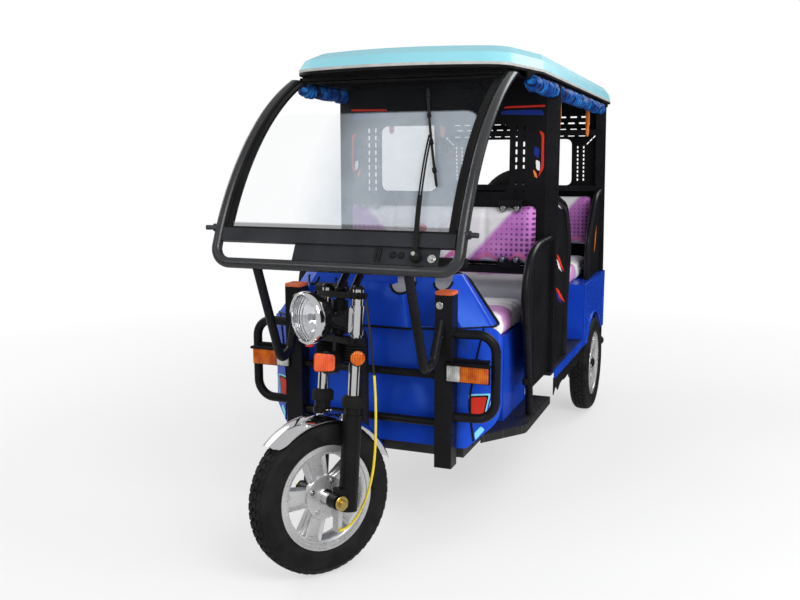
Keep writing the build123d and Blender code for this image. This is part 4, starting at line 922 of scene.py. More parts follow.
# a strip bent like the screen, or to a larger radius
def arcShape(r0, r1, a0, a1, y0, y1, steps=24, radius=None):
    bm = bmesh.new()
    out = (radius or hoop["r"]) - hoop["r"]
    middle = math.radians((a0 + a1) / 2)
    center = at(hoop["x"] - out * math.cos(middle), 0, hoop["z"] - out * math.sin(middle))
    first = math.radians(a0)
    verts = [bm.verts.new(center + Vector(((r + out) / 1000 * math.cos(first), y / 1000,
                                           (r + out) / 1000 * math.sin(first))))
             for r, y in ((r0, y0), (r1, y0), (r1, y1), (r0, y1))]
    edges = [bm.edges.new((verts[i], verts[(i + 1) % 4])) for i in range(4)]
    bmesh.ops.spin(bm, geom=verts + edges, cent=center, axis=(0, -1, 0), angle=math.radians(a1 - a0),
                   steps=steps)
    bmesh.ops.holes_fill(bm, edges=bm.edges, sides=4)
    bmesh.ops.recalc_face_normals(bm, faces=bm.faces)
    return bm


def slantShape(low, high, r0, r1, half, shift=0.0, steps=24):  # a strip from one (angle, y) to another
    run = math.radians(high[0] - low[0]) * hoop["r"]
    slant = math.atan2(low[1] - high[1], run)
    radius = hoop["r"] / math.cos(slant) ** 2
    middle = (low[0] + high[0]) / 2
    sweep = math.degrees(run / math.cos(slant) / radius) / 2
    strip = arcShape(r0, r1, middle - sweep, middle + sweep, shift - half, shift + half, steps, radius)
    out = hoopAt(hoop["r"], middle, 0) - at(hoop["x"], 0, hoop["z"])
    center = Matrix.Translation(at(hoop["x"], 0, hoop["z"]))
    turn = movedBy(0, (low[1] + high[1]) / 2) @ center @ Matrix.Rotation(slant, 4, out) @ center.inverted()
    bmesh.ops.transform(strip, matrix=turn, verts=strip.verts)
    return strip


wiperSet = {"foot": (20.6, 281.0), "head": (45.0, 244.6), "low": (34.2, 306.5), "high": (60.3, 156.9),
            "hub": (2148.0, 281.0, 1003.9), "out": (0.877, 0.0, 0.480)}
bm = bmesh.new()
r = hoop["r"]
for shift in (-4.0, 4.0):
    joinShape(bm, slantShape(wiperSet["foot"], wiperSet["head"], r + 16.5, r + 21, 2.2, shift), 0)
# broad pressed foot of the arm
joinShape(bm, slantShape(wiperSet["foot"], (32.0, 264.0), r + 15.5, r + 22, 7.0), 0)
joinShape(bm, slantShape(wiperSet["low"], wiperSet["high"], r + 11, r + 15, 4.0, 0.0, 40), 0)
joinShape(bm, slantShape(wiperSet["low"], wiperSet["high"], r + 4, r + 11.5, 1.8, 0.0, 40), 1)
for step in (0.12, 0.36, 0.64, 0.88):  # claws that hold the rubber
    a, y = [low + (high - low) * step for low, high in zip(wiperSet["low"], wiperSet["high"])]
    joinShape(bm, slantShape((a - 0.4, y + 2.3), (a + 0.4, y - 2.3), r + 8, r + 17, 6.5, 0.0, 3), 0)
joinShape(bm, spinShape([(0, 0.3), (17, 0.3), (17.5, 3), (17, 16), (14, 24), (8, 28), (0, 29)], 32), 0,
          along(at(*wiperSet["hub"]), wiperSet["out"]))
nutAt = at(*(a + 28 * b for a, b in zip(wiperSet["hub"], wiperSet["out"])))
joinShape(bm, hexShape(13, 8), 2, along(nutAt, wiperSet["out"]))
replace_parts(fromShape("wiperSet", bm, ["wiperBlack", "sealRubber", "boltZinc"], "chassis"),
            "wiper")

screenEdge = {"low": 25.35, "high": 68.0, "half": 395.4, "wide": 26.0, "proud": 5.0}
bm = bmesh.new()
for side in (1, -1):
    y0, y1 = sorted((side * screenEdge["half"], side * (screenEdge["half"] - screenEdge["wide"])))
    joinShape(bm, arcShape(r - screenEdge["proud"], r + screenEdge["proud"], screenEdge["low"],
                           screenEdge["high"], y0, y1, 48))
    bead = [hoopAt(r + 5, a, side * (screenEdge["half"] - 2)) for a in range(26, 69, 2)]
    joinShape(bm, tubeShape(bead, 5.0))
inner = screenEdge["half"] - screenEdge["wide"]
for a, tall in ((screenEdge["low"] - 0.1, 0.55), (screenEdge["high"] - 0.7, 0.7)):
    joinShape(bm, arcShape(r - 4.5, r + 4.5, a, a + tall, -inner, inner, 3))
fromShape("screenRubber", bm, ["sealRubber"], "chassis")

# fittings on the rail and the dash plate
dash = {"top": (2130.7, 1035.4), "low": (2159.4, 982.9), "strips": (150.0, 163.0), "bolts": [(328.7, 0.62)]}


def dashAt(y, down, proud=0.0):  # a point on the plate's front
    (x0, z0), (x1, z1) = dash["top"], dash["low"]
    out = Vector((z0 - z1, 0, x1 - x0)).normalized() * proud
    return at(x0 + (x1 - x0) * down + out.x, y, z0 + (z1 - z0) * down + out.z)


bm = bmesh.new()
plateOut = dashAt(0, 0.5, 10) - dashAt(0, 0.5)
for y, down in dash["bolts"]:
    joinShape(bm, boltShape(14), 0, along(dashAt(y, down), plateOut))
for y in dash["strips"]:
    joinShape(bm, tubeShape([dashAt(y, 0.12, 2), dashAt(y, 0.88, 2)], 3.2), 1)
for y in (205.0, 232.0):  # rubber plugs over the unused holes
    joinShape(bm, spinShape([(0, 0), (11, 0), (11, 2), (8, 5), (0, 6)], 24), 1,
              along(dashAt(y, 0.5), plateOut))
knobs = [(268.0, 27.4, 14.0, 2), (262.0, 23.6, 12.0, 1)]
for y, angle, radius, field in knobs:
    stalk = spinShape([(0, 0), (5, 0), (5, 18), (radius * 0.7, 20), (radius, 26), (radius * 0.95, 34),
                       (radius * 0.5, 38), (0, 39)], 24)
    joinShape(bm, stalk, field, along(hoopAt(r - 10, angle, y),
                                      hoopAt(r - 60, angle, y) - hoopAt(r, angle, y)))
fromShape("dashFittings", bm, ["boltZinc", "wiperBlack", "decalRed"], "chassis")
print("glass, lamps and wiper made")

# crowned front mudguard with its lugs and bolts
mudguard = {"from": 40.0, "to": 156.0, "crown": 267.0, "drop": 21.0, "half": 54.0, "thick": 3.0,
            "taper": 10.0, "steps": 58, "across": 14}
bm = bmesh.new()
rings = []
for i in range(mudguard["steps"] + 1):
    turn = mudguard["from"] + (mudguard["to"] - mudguard["from"]) * i / mudguard["steps"]
    near = min(1.0, min(turn - mudguard["from"], mudguard["to"] - turn) / mudguard["taper"])
    wide = mudguard["half"] * (0.62 + 0.38 * math.sqrt(1 - (1 - near) ** 2))
    ring = []
    for skin in (0, 1):
        for k in range(mudguard["across"] + 1):
            share = 2 * k / mudguard["across"] - 1
            y = wide * (share if skin == 0 else -share)
            fall = mudguard["drop"] * abs(y / mudguard["half"]) ** 2.3
            radius = mudguard["crown"] - fall - skin * mudguard["thick"]
            spot = (steering["offset"] + radius * math.cos(math.radians(turn)), y,
                    radius * math.sin(math.radians(turn)))
            ring.append(bm.verts.new(forkMatrix @ (Vector(spot) / 1000)))
    rings.append(ring)
for one, two in zip(rings, rings[1:]):
    for k in range(len(one)):
        bm.faces.new((one[k], one[k - 1], two[k - 1], two[k]))
bm.faces.new(rings[0])
bm.faces.new(rings[-1][::-1])
bmesh.ops.recalc_face_normals(bm, faces=bm.faces)
for side in (1, -1):
    joinShape(bm, sideBox(side, (-22, 44.0, 246), (6, 55.7, 256), 2), 0, forkMatrix)
    for dx in (-7, 7):
        place = Vector((dx - 8.0, side * 46.0, 257.0)) / 1000
        joinShape(bm, boltShape(9), 1, forkMatrix @ along(place, (0, 0, 1)))
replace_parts(fromShape("frontMudguard", bm, ["chrome", "boltZinc"], "steering", 40),
            "front_mudguard")

# pressed panels with their slots
panels = {
    "half": 427.5, "low": 868.0, "top": 1587.5, "partitionX": 1058.0, "rearHalf": 473.5, "rearLow": 700.0,
    "backX": -302.0, "lean": 0.1,
    "thick": 4.0, "sideY": 454.0, "window": (280.0, 1165.0, 1437.0, 34.0),
    "rearWindow": (294.0, 1165.0, 1412.0, 34.0),
    "rows": (1430.0, 1462.0, 1495.0, 1527.0), "columns": (308.0, 339.0), "rearColumns": (326.0, 358.0),
    "slots": (1172.0, 31.0, 20.0), "rearSlots": (1196.0, 21.5, 13.0),  # lowest, step, height
    "folds": [(1098, 1106, 450, 950), (1330, 1338, 450, 900), (745, 753, 450, 620), (980, 988, 450, 1090)],
}
sideOutlines = {
    "frontSide": [(1060, 430), (1060, 968), (1300, 962), (1376, 938), (1434, 884), (1458, 800), (1440, 725),
                  (1392, 585), (1362, 430)],
    "middleSide": [(1010, 430), (1010, 1122), (800, 1080), (680, 925), (722, 640), (722, 430)],
    "rearSide": [(-259, 700), (-218, 1110), (-90, 1080), (95, 885), (106, 700)],
}


def slotPattern(back):
    half, low, top, bend = panels["rearWindow" if back else "window"]
    first, step, tall = panels["rearSlots" if back else "slots"]
    loops = [roundLoop(rectangle(half, low, top), bend, 8)]
    for side in (1, -1):
        for y in panels["rearColumns" if back else "columns"]:
            for k in range(9):
                loops.append(slotLoop(side * y, first + k * step, 8.0, tall))
        for k in range(3 if back else 0):
            loops.append(slotLoop(side * (412 - k * 16), 1422.0 - k * 16.0, 18.0, 6.0, side * 45.0))
    for i, z in enumerate(panels["rows"] if back else ()):
        for k in range(-6, 7):
            loops.append(slotLoop(k * 58.0 + (12.0 if i % 2 else 0.0), z, 36.0, 8.0))
    return loops


bm = bmesh.new()
sheet = plateShape(rectangle(panels["half"], panels["low"], panels["top"]), slotPattern(False),
                   panels["thick"])
joinShape(bm, sheet, 0, drawing @ movedBy(panels["partitionX"]) @ facingX)
leaning = Matrix.Identity(4)
leaning[0][2] = panels["lean"]
leaning[0][3] = (panels["backX"] - panels["lean"] * panels["rearLow"]) / 1000
sheet = plateShape(rectangle(panels["rearHalf"], panels["rearLow"], panels["top"]), slotPattern(True),
                   panels["thick"])
joinShape(bm, sheet, 0, drawing @ leaning @ facingX)
# spare wheel bracket
joinShape(bm, spinShape([(0, -0.5), (38, -0.5), (38, 30), (30, 44), (0, 44)], 40), 0,
          along(at(-275, 0, 1010), (-1, 0, 0.1)))
joinShape(bm, hexShape(30, 20), 1, along(at(-350, 0, 1012), (-1, 0, 0.1)))
for outline in sideOutlines.values():
    for side in (1, -1):
        sheet = plateShape(roundLoop(outline, 24), [], panels["thick"])
        joinShape(bm, sheet, 0, drawing @ movedBy(0, side * panels["sideY"]) @ facingY)
for side in (1, -1):  # pressed folds in the side panels
    for x0, x1, z0, z1 in panels["folds"]:
        rib = sideBox(side, (x0, panels["sideY"] - 5, z0), (x1, panels["sideY"] + 5, z1), 2.5)
        joinShape(bm, rib, 0, drawing)
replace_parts(fromShape("pressedPanels", bm, ["panelBlack", "boltZinc"], "chassis"),
            "body_panels")

# side guard tubes, bent round the panels' edges
guards = {
    "y": 454.0, "radius": 15.0,
    "lines": [  # places in x and z, bend
        ([(1060, 984), (1322, 972), (1442, 918), (1482, 802), (1462, 725), (1413, 590), (1376, 409),
          (1368, 336)], 90),
        ([(1012, 1150), (760, 1100), (655, 930), (705, 640), (705, 430)], 60),
        ([(-222, 1140), (-70, 1110), (124, 900), (124, 701)], 60),
    ],
    "clamps": [(1413, 436, 590), (1413, 436, 470), (705, 436, 560)],
}
bm = bmesh.new()
for side in (1, -1):
    for line, bend in guards["lines"]:
        joinShape(bm, tubeShape([at(x, side * guards["y"], z) for x, z in line], guards["radius"], bend, 6))
    for x, y, z in guards["clamps"]:
        joinShape(bm, sideBox(side, (x - 22, y, z - 12), (x + 6, guards["y"], z + 12), 3), 0, drawing)
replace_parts(fromShape("sideGuards", bm, ["frameBlack"], "chassis", 60), "side_guards")

# plain streaks on the panels
streaks = {
    "partition": [([(398, 1412), (420, 1400), (421, 1262), (400, 1226), (411, 1275), (410, 1388)], 0),
                  ([(383, 1352), (403, 1338), (399, 1300), (379, 1318)], 1),
                  ([(388, 1296), (405, 1290), (406, 1250), (391, 1258)], 2),
                  ([(377, 1258), (390, 1248), (397, 1220), (384, 1230)], 3),
                  ([(250, 1500), (421, 1503), (421, 1511), (262, 1508)], 0),
                  ([(238, 1476), (420, 1470), (408, 1492), (246, 1492)], 1)],
    "side": [([(940, 912), (860, 884), (750, 812), (850, 846)], 0),
             ([(932, 890), (872, 862), (800, 816), (880, 842)], 2),
             ([(944, 770), (850, 742), (702, 666), (830, 706)], 0),
             ([(936, 748), (860, 722), (770, 672), (862, 700)], 1),
             ([(-125, 960), (-92, 902), (-78, 816), (-114, 880)], 3)],
}
bm = bmesh.new()
for side in (1, -1):
    for place, loops in streaks.items():
        for loop, field in loops:
            shape = plateShape(roundLoop([(side * a if place == "partition" else a, b) for a, b in loop], 8),
                               [], 0.8)
            if place == "partition":
                matrix = drawing @ movedBy(panels["partitionX"] + 2.2) @ facingX
            else:
                matrix = drawing @ movedBy(0, side * (panels["sideY"] + 2.2)) @ facingY
            joinTurned(bm, shape, field, matrix)
fromShape("panelStreaks", bm, ["decalRed", "decalBlue", "decalWhite", "decalOrange"], "chassis")

# bracket plates that hold the backrest to its rails
bracket = {"x": 1136.0, "y": (305.0, -305.0), "lobes": [(-48, 44), (48, 44), (48, 18), (38, -2), (20, -2),
                                                        (10, 14), (-10, 14), (-20, -2), (-38, -2), (-48, 18)]}
bm = bmesh.new()
for y in bracket["y"]:
    for base, flip in ((1092.0, 1), (908.0, -1)):
        shape = plateShape(roundLoop([(a, flip * b) for a, b in bracket["lobes"]], 7), [], 3.0)
        joinShape(bm, shape, 0, drawing @ movedBy(bracket["x"], y, base) @ facingX)
        for offset in (-28, 28):
            joinShape(bm, boltShape(11), 1, along(at(bracket["x"] + 1.5, y + offset, base + flip * 10),
                                                  (1, 0, 0)))
    joinShape(bm, boxShape((1054, y - 46, 1131), (1137, y + 46, 1137), 2), 0, drawing)
fromShape("backBrackets", bm, ["frameBlack", "boltZinc"], "chassis")
print("panels pressed")


# printed vinyl for the seats
def vinylGround(tree, coord, dark, pale):  # cloudy, drawn out across the vehicle
    mapped = addNode(tree, "ShaderNodeMapping", Scale=(4.0, 0.35, 4.0))
    tree.links.new(coord, mapped.inputs["Vector"])
    return rampOf(tree, noiseOf(tree, mapped.outputs["Vector"], 5.0, 4.0), [(0.35, dark), (0.7, pale)])


def vinylSkin(tree, shader, coord):  # grain, wrinkles and sheen
    roughOf(tree, shader, coord, 40.0, 0.34, 0.5, 4.0)
    wrinkle = mathOf(tree, "MULTIPLY", noiseOf(tree, coord, 26.0, 3.0), 4.0)
    bumpOf(tree, shader, mathOf(tree, "ADD", wrinkle, noiseOf(tree, coord, 900.0, 2.0)), 0.35, 0.0009)
    shader.inputs["Sheen Weight"].default_value = 0.1


# plain ground, dotted corner fields and a wave along the foot
def seatVinyl(name, across, down, foot, field, slope, reach):
    mat, tree, shader = nodeTree(name)
    coord = coordOf(tree)
    axes = axesOf(tree, coord)
    side = mathOf(tree, "ABSOLUTE", axes[across])
    height = mathOf(tree, "SUBTRACT", axes[down], foot)
    edge = mathOf(tree, "SUBTRACT", side, mathOf(tree, "ADD", mathOf(tree, "MULTIPLY", height, slope), field))
    inField = spanOf(tree, edge, -0.012, 0.012)
    cells = addNode(tree, "ShaderNodeTexVoronoi", Scale=48.0, Randomness=0.0)
    flat = tree.nodes.new("ShaderNodeCombineXYZ")
    tree.links.new(axes[across], flat.inputs[0])
    tree.links.new(axes[down], flat.inputs[1])
    tree.links.new(flat.outputs[0], cells.inputs["Vector"])
    dotSize = spanOf(tree, edge, 0.0, 0.22, 0.10, 0.40)
    dots = mathOf(tree, "LESS_THAN", cells.outputs["Distance"], dotSize)
    ground = vinylGround(tree, coord, (0.70, 0.69, 0.71), (0.82, 0.81, 0.83))
    tone = rampOf(tree, noiseOf(tree, coord, 7.0, 3.0),
                  [(0.35, (0.38, 0.10, 0.42)), (0.7, (0.58, 0.22, 0.56))])
    dotted = mixOf(tree, dots, tone, (0.13, 0.025, 0.17))
    color = mixOf(tree, inField, ground, dotted)
    swing = addNode(tree, "ShaderNodeTexWave", Scale=2.3, Distortion=1.2, Detail=1.0)
    swing.bands_direction = "Y"
    tree.links.new(coord, swing.inputs["Vector"])
    crest = spanOf(tree, swing.outputs["Fac"], 0.0, 1.0, reach * 0.25, reach)
    wave = spanOf(tree, mathOf(tree, "SUBTRACT", crest, height), -0.004, 0.004)
    color = mixOf(tree, wave, color, (0.62, 0.16, 0.40))
    under = spanOf(tree, mathOf(tree, "SUBTRACT", mathOf(tree, "MULTIPLY", crest, 0.55), height), -0.004,
                   0.004)
    color = mixOf(tree, under, color, (0.55, 0.52, 0.72))
    tree.links.new(color, shader.inputs["Base Color"])
    vinylSkin(tree, shader, coord)
    return mat


finishes["vinylBack"] = seatVinyl("vinylBack", "Y", "Z", 0.872, 0.11, 0.92, 0.055)
finishes["vinylRearBack"] = seatVinyl("vinylRearBack", "Y", "Z", 0.842, 0.13, 0.85, 0.055)


def cushionVinyl(name, first, last):  # pale ground with a soft tinted band near the front edge
    mat, tree, shader = nodeTree(name)
    coord = coordOf(tree)
    axes = axesOf(tree, coord)
    wander = spanOf(tree, noiseOf(tree, coord, 6.0, 3.0), 0.3, 0.7, -0.03, 0.03)
    place = mathOf(tree, "ADD", axes["X"], wander)
    low, high = min(first, last) / 1000 + rearAxleX, max(first, last) / 1000 + rearAxleX
    band = mathOf(tree, "MULTIPLY", spanOf(tree, place, low - 0.01, low + 0.01),
                  spanOf(tree, place, high - 0.01, high + 0.01, 1.0, 0.0))
    ground = vinylGround(tree, coord, (0.78, 0.77, 0.80), (0.90, 0.89, 0.92))
    tone = rampOf(tree, noiseOf(tree, coord, 9.0, 3.0),
                  [(0.35, (0.50, 0.20, 0.50)), (0.7, (0.68, 0.38, 0.66))])
    tree.links.new(mixOf(tree, band, ground, tone), shader.inputs["Base Color"])
    vinylSkin(tree, shader, coord)
    return mat


finishes["vinylSeat"] = cushionVinyl("vinylSeat", 1370, 1512)
finishes["vinylBench"] = cushionVinyl("vinylBench", 690, 800)
finishes["vinylRear"] = cushionVinyl("vinylRear", 170, 318)

pads = {  # name: low corner, high corner, lean, kind, channel places, node, finish
    "driverCushion": ((1135, -395, 655), (1545, 395, 750), 0.0, "cushion", (1205, 1275, 1345),
                      "seat_cushions", "vinylSeat"),
    "benchCushion": ((650, -425, 700), (1008, 425, 795), 0.0, "cushion", (760, 830, 900), "seat_cushions",
                     "vinylBench"),
    "rearCushion": ((-190, -425, 700), (347, 425, 795), 0.0, "cushion", (0, 90, 180), "seat_cushions",
                    "vinylRear"),
    "driverBack": ((1061, -415, 869), (1132, 415, 1120), 0.0, "frontBack", (-200, 0, 200), "seat_backs",
                   "vinylBack"),
    "benchBack": ((954, -425, 868), (1025, 425, 1120), 0.0, "rearBack", (-200, 0, 200), "seat_backs",
                  "vinylBack"),
    "rearBack": ((-248, -425, 838), (-176, 425, 1120), 0.1, "frontBack", (-200, 0, 200), "seat_backs",
                 "vinylRearBack"),
}
padMaking = {"voxel": 0.0075, "shrink": 6.0, "pressure": 4.0, "frames": 20, "cap": 0.009, "channel": 0.009,
             "spread": 0.013, "seam": 0.004, "seamWide": 0.007, "seamBand": 0.02, "leanFrom": 0.85}


def settled(bm, name):  # remesh, then a short cloth run under pressure
    mesh = bpy.data.meshes.new(name)
    bm.to_mesh(mesh)
    bm.free()
    pad = bpy.data.objects.new(name, mesh)
    scene.collection.objects.link(pad)
    remesh = pad.modifiers.new("even", "REMESH")
    remesh.mode = "VOXEL"
    remesh.voxel_size = padMaking["voxel"]
    even = bpy.data.meshes.new_from_object(pad.evaluated_get(bpy.context.evaluated_depsgraph_get()))
    pad.modifiers.clear()
    pad.data = even
    bpy.data.meshes.remove(mesh)
    start = [v.co.copy() for v in even.vertices]
    cloth = pad.modifiers.new("cloth", "CLOTH")
    cloth.settings.quality = 4
    cloth.settings.use_pressure = True
    cloth.settings.uniform_pressure_force = padMaking["pressure"]
    cloth.settings.effector_weights.gravity = 0.0
    for step in range(1, padMaking["frames"] + 1):
        scene.frame_set(step)
    swollen = bpy.data.meshes.new_from_object(pad.evaluated_get(bpy.context.evaluated_depsgraph_get()))
    pad.modifiers.clear()
    pad.data = swollen
    bpy.data.meshes.remove(even)
    for vert, first in zip(swollen.vertices, start):
        move = vert.co - first
        if move.length > padMaking["cap"]:
            vert.co = first + move.normalized() * padMaking["cap"]
    scene.frame_set(1)
    return pad


for name, (low, high, lean, kind, channels, node, finishName) in pads.items():
    shrink = padMaking["shrink"]
    front = -1 if kind == "rearBack" else 1
    if kind == "cushion":
        shape = boxShape((low[0] + shrink, low[1] + shrink, low[2]),
                         (high[0] - shrink, high[1] - shrink, high[2] - shrink * 1.6), 26, 4)
    else:
        back = (0 if kind == "frontBack" else shrink * 1.4, shrink * 1.4 if kind == "frontBack" else 0)
        shape = boxShape((low[0] + back[0], low[1] + shrink, low[2] + shrink),
                         (high[0] - back[1], high[1] - shrink, high[2] - shrink), 24, 4)
    bmesh.ops.translate(shape, vec=(rearAxleX, 0, 0), verts=shape.verts)
    pad = settled(shape, name)
    lowAt, highAt = at(*low), at(*high)
    for vert in pad.data.vertices:
        co = vert.co
        if kind == "cushion":
            if co.z > (lowAt.z + highAt.z) / 2:
                for x in channels:
                    gap = (co.x - at(x, 0, 0).x) / padMaking["spread"]
                    co.z -= padMaking["channel"] * math.exp(-gap * gap)
            gap = (co.z - (lowAt.z * 0.35 + highAt.z * 0.65)) / padMaking["seamWide"]
            inward = Vector((0, 0, 0))
            if min(co.x - lowAt.x, highAt.x - co.x) < padMaking["seamBand"]:
                inward.x = math.copysign(1, (lowAt.x + highAt.x) / 2 - co.x)
            if highAt.y - abs(co.y) < padMaking["seamBand"]:
                inward.y = -math.copysign(1, co.y)
            co += inward * padMaking["seam"] * math.exp(-gap * gap)
            co.z = max(co.z, lowAt.z)
        else:
            if (co.x - (lowAt.x + highAt.x) / 2) * front > 0:
                for y in channels:
                    gap = (co.y - y / 1000) / padMaking["spread"]
                    co.x -= front * padMaking["channel"] * 0.7 * math.exp(-gap * gap)
        co.x = min(max(co.x, lowAt.x - 0.004), highAt.x + 0.008)
        co.y = min(max(co.y, lowAt.y - 0.004), highAt.y + 0.004)
        if kind == "frontBack":
            co.x = max(co.x, lowAt.x)
        if kind == "rearBack":
            co.x = min(co.x, highAt.x)
        co.x += lean * (co.z - padMaking["leanFrom"])
    pad.data.polygons.foreach_set("use_smooth", [True] * len(pad.data.polygons))
    pad.data.materials.clear()
    pad.data.materials.append(finishes[finishName])
    smooth = pad.modifiers.new("smooth", "SUBSURF")
    smooth.levels = smooth.render_levels = 1
    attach(pad, "chassis")
    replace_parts(pad, node)
print("seats padded:", len(pads))

# rolled curtains, gathered into pleats, with their ties
rolls = {"y": 451.0, "z": 1563.0, "r": 27.0, "spans": {"Rear": (-160, 1004), "Front": (1066, 1440)},
         "tieStep": 190.0, "pleat": 34.0, "ripple": 0.0062}
ties = bmesh.new()
for spanName, (x0, x1) in rolls["spans"].items():
    for side, sideName in ((1, "Left"), (-1, "Right")):
        count = max(2, round((x1 - x0) / rolls["tieStep"]))
        knots = [x0 + (x1 - x0) * (k + 0.5) / count for k in range(count)]
        profile = [(0, x0), (17, x0 + 2)]
        steps = int((x1 - x0) / 5)
        for i in range(1, steps):
            x = x0 + (x1 - x0) * i / steps
            pinch = sum(math.exp(-((x - k) / 18) ** 2) for k in knots)
            profile.append((rolls["r"] * (1 - 0.24 * pinch), x))
        profile += [(17, x1 - 2), (0, x1)]
        roll = spinShape(profile, 36)
        lying = movedBy(0, side * rolls["y"], rolls["z"]) @ Matrix.Rotation(math.radians(90), 4, "Y")
        bmesh.ops.transform(roll, matrix=drawing @ lying, verts=roll.verts)
        middle = Vector((0, side * rolls["y"] / 1000, rolls["z"] / 1000))
        for vert in roll.verts:  # pleats that run round the roll, and broader sags between the ties
            ray = Vector((0, vert.co.y, vert.co.z)) - middle
            if ray.length < 0.004:
                continue
            turn = math.atan2(ray.y, -ray.z)
            drift = noise.noise(Vector((vert.co.x * 5, turn * 0.9, side * 3.0)))
            pleat = 1 - 2 * abs(math.sin(math.pi * vert.co.x * 1000 / rolls["pleat"] + 2.4 * drift
                                         + 0.35 * turn)) ** 0.7
            sag = noise.noise(Vector((vert.co.x * 11, turn * 1.1, side * 7.0)))
            vert.co += ray.normalized() * rolls["ripple"] * (0.62 * pleat + 0.75 * sag)
        piece = fromShape("curtainRoll" + spanName + sideName, roll, ["curtainCloth"], "chassis",
                          110)
        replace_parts(piece, "curtain_rolls")
        for k in knots:
            ring = spinShape([(20.5, -9), (24.0, -8), (25.0, 0), (24.0, 8), (20.5, 9), (19.5, 0)], 28,
                             closed=True)
            joinShape(ties, ring, 0, along(at(k, side * rolls["y"], rolls["z"]), (1, 0, 0)))
            joinShape(ties, boxShape((k - 7, side * rolls["y"] - 3, rolls["z"] + 18),
                                     (k + 7, side * rolls["y"] + 3, rolls["z"] + 29), 1.2), 0, drawing)
fromShape("curtainTies", ties, ["gripRubber"], "chassis")
bm = bmesh.new()
for side in (1, -1):  # black strip that the curtains hang from
    for x0, x1 in rolls["spans"].values():
        joinShape(bm, sideBox(side, (x0, 441.0, 1574), (x1 + 40, 447.0, 1606), 1.5), 0, drawing)
fromShape("curtainStrips", bm, ["liningBlack"], "chassis")

# orange hand straps: two webs and a moulded loop
straps = {"x": (658.0, -102.0), "y": 396.0, "top": 1587.0, "knee": 1530.0, "loop": 1478.0,
          "ring": [(-14, 4), (-16, -20), (-13, -44), (0, -52), (13, -44), (16, -20), (14, 4), (0, 10)]}
bm = bmesh.new()
for x in straps["x"]:
    for side in (1, -1):
        y = side * straps["y"]
        for shift in (-4, 4):
            web = tubeShape([at(x + shift, y, straps["top"]), at(x + shift * 1.6, y, straps["knee"]),
                             at(x + shift * 3.4, y, straps["loop"])], 3, 30, 2)
            bmesh.ops.scale(web, vec=(1, 3.2, 1), space=Matrix.Translation((0, -y / 1000, 0)),
                            verts=web.verts)
            joinShape(bm, web)
        ring = [at(x + a, y, straps["loop"] + b) for a, b in straps["ring"]]
        joinShape(bm, tubeShape(ring, 6.5, 0, 3, closed=True))
        joinShape(bm, boxShape((x - 17, y - 13, straps["top"] - 6), (x + 17, y + 13, straps["top"]), 2), 0,
                  drawing)
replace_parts(fromShape("handStraps", bm, ["strapOrange"], "chassis", 60), "hand_straps")
print("curtains and straps made")

# front panel, trimmed at its ends so that the step shows
# point and outward direction in x and z, mm
panelCuts = [((1703, 0), (-1, 0)), ((1759, 735), (-45, 56)), ((1798, 340), (-111, -95))]
bm = bmesh.new()
bm.from_mesh(nodes["front_panel"].data)
bmesh.ops.remove_doubles(bm, verts=bm.verts, dist=1e-5)
for (x, z), (outX, outZ) in panelCuts:
    geom = bm.verts[:] + bm.edges[:] + bm.faces[:]
    cut = bmesh.ops.bisect_plane(bm, geom=geom, dist=1e-6, plane_co=at(x, 0, z), plane_no=(outX, 0, outZ),
                                 clear_outer=True)
    bmesh.ops.edgenet_fill(bm, edges=[e for e in cut["geom_cut"] if isinstance(e, bmesh.types.BMEdge)])
bmesh.ops.recalc_face_normals(bm, faces=bm.faces)
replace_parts(fromShape("frontPanel", bm, ["bluePaint"], "chassis", 30), "front_panel")

# rubber beads on the cowl and the front panel's seams, and blank patches beside them
cowl = {"back": [(1690, 412, 737), (1690, 293, 905), (1690, -293, 905), (1690, -412, 737)],
        "foot": [(1690, 414, 736), (1750, 414, 736), (1819, 322, 736), (1886, 162, 736), (1886, -162, 736),
                 (1819, -322, 736), (1750, -414, 736), (1690, -414, 736)],
        "openings": [(115.2, 66.0, 851.0), (243.2, 50.0, 859.0)],  # y, width and low point of each edging
        "seam": [(1778.2, 385.8, 734), (1793.5, 367.5, 639), (1807.8, 349.3, 505), (1809.4, 347.2, 470),
                 (1798.7, 360.7, 345)]}
bm = bmesh.new()
joinShape(bm, tubeShape([at(*p) for p in cowl["back"]], 6.5, 40))
joinShape(bm, tubeShape([at(*p) for p in cowl["foot"]], 4.0, 30))
for side in (1, -1):
    joinShape(bm, tubeShape([at(x, side * y, z) for x, y, z in cowl["seam"]], 3.4, 60))
surface = BVHTree.FromObject(nodes["front_cowl"], bpy.context.evaluated_depsgraph_get())
for y, wide, low in cowl["openings"]:
    for side in (1, -1):
        run = []
        outer = wide / 2 + 2.0
        for step in range(25):
            a = math.pi * (step / 24 - 0.5)
            spot = (side * (y + outer * math.sin(a)), low + wide / 2 - outer * math.cos(a))
            hit = surface.ray_cast(at(2600, *spot), (-1, 0, 0))[0]
            if hit is None or (run and abs(hit.x - run[-1].x) > 0.012):  # past an edge of the cowl
                if len(run) > 2:
                    joinShape(bm, tubeShape(run, 4.0))
                run = []
            if hit is not None:
                run.append(hit)
        if len(run) > 2:
            joinShape(bm, tubeShape(run, 4.0))
fromShape("frontBeads", bm, ["sealRubber"], "chassis")
bm = bmesh.new()
patch = {
    "place": (1787.0, 375.5, 466.0), "turn": 128.2,
    "fields": [  # outline, thickness, finish
        ([(-36, -40), (22, -44), (42, 42), (-38, 45)], 0.8, 0),
        ([(-33, -37), (18, -40), (35, 36), (-34, 39)], 1.4, 1),
        ([(-28, -32), (14, -34), (28, 31), (-29, 33)], 2.0, 2),
        ([(27, -60), (38, -44), (58, 42), (47, 42)], 0.8, 0),
        ([(-12, -118), (22, -84), (8, -70), (-16, -92)], 0.8, 0),
    ],
}
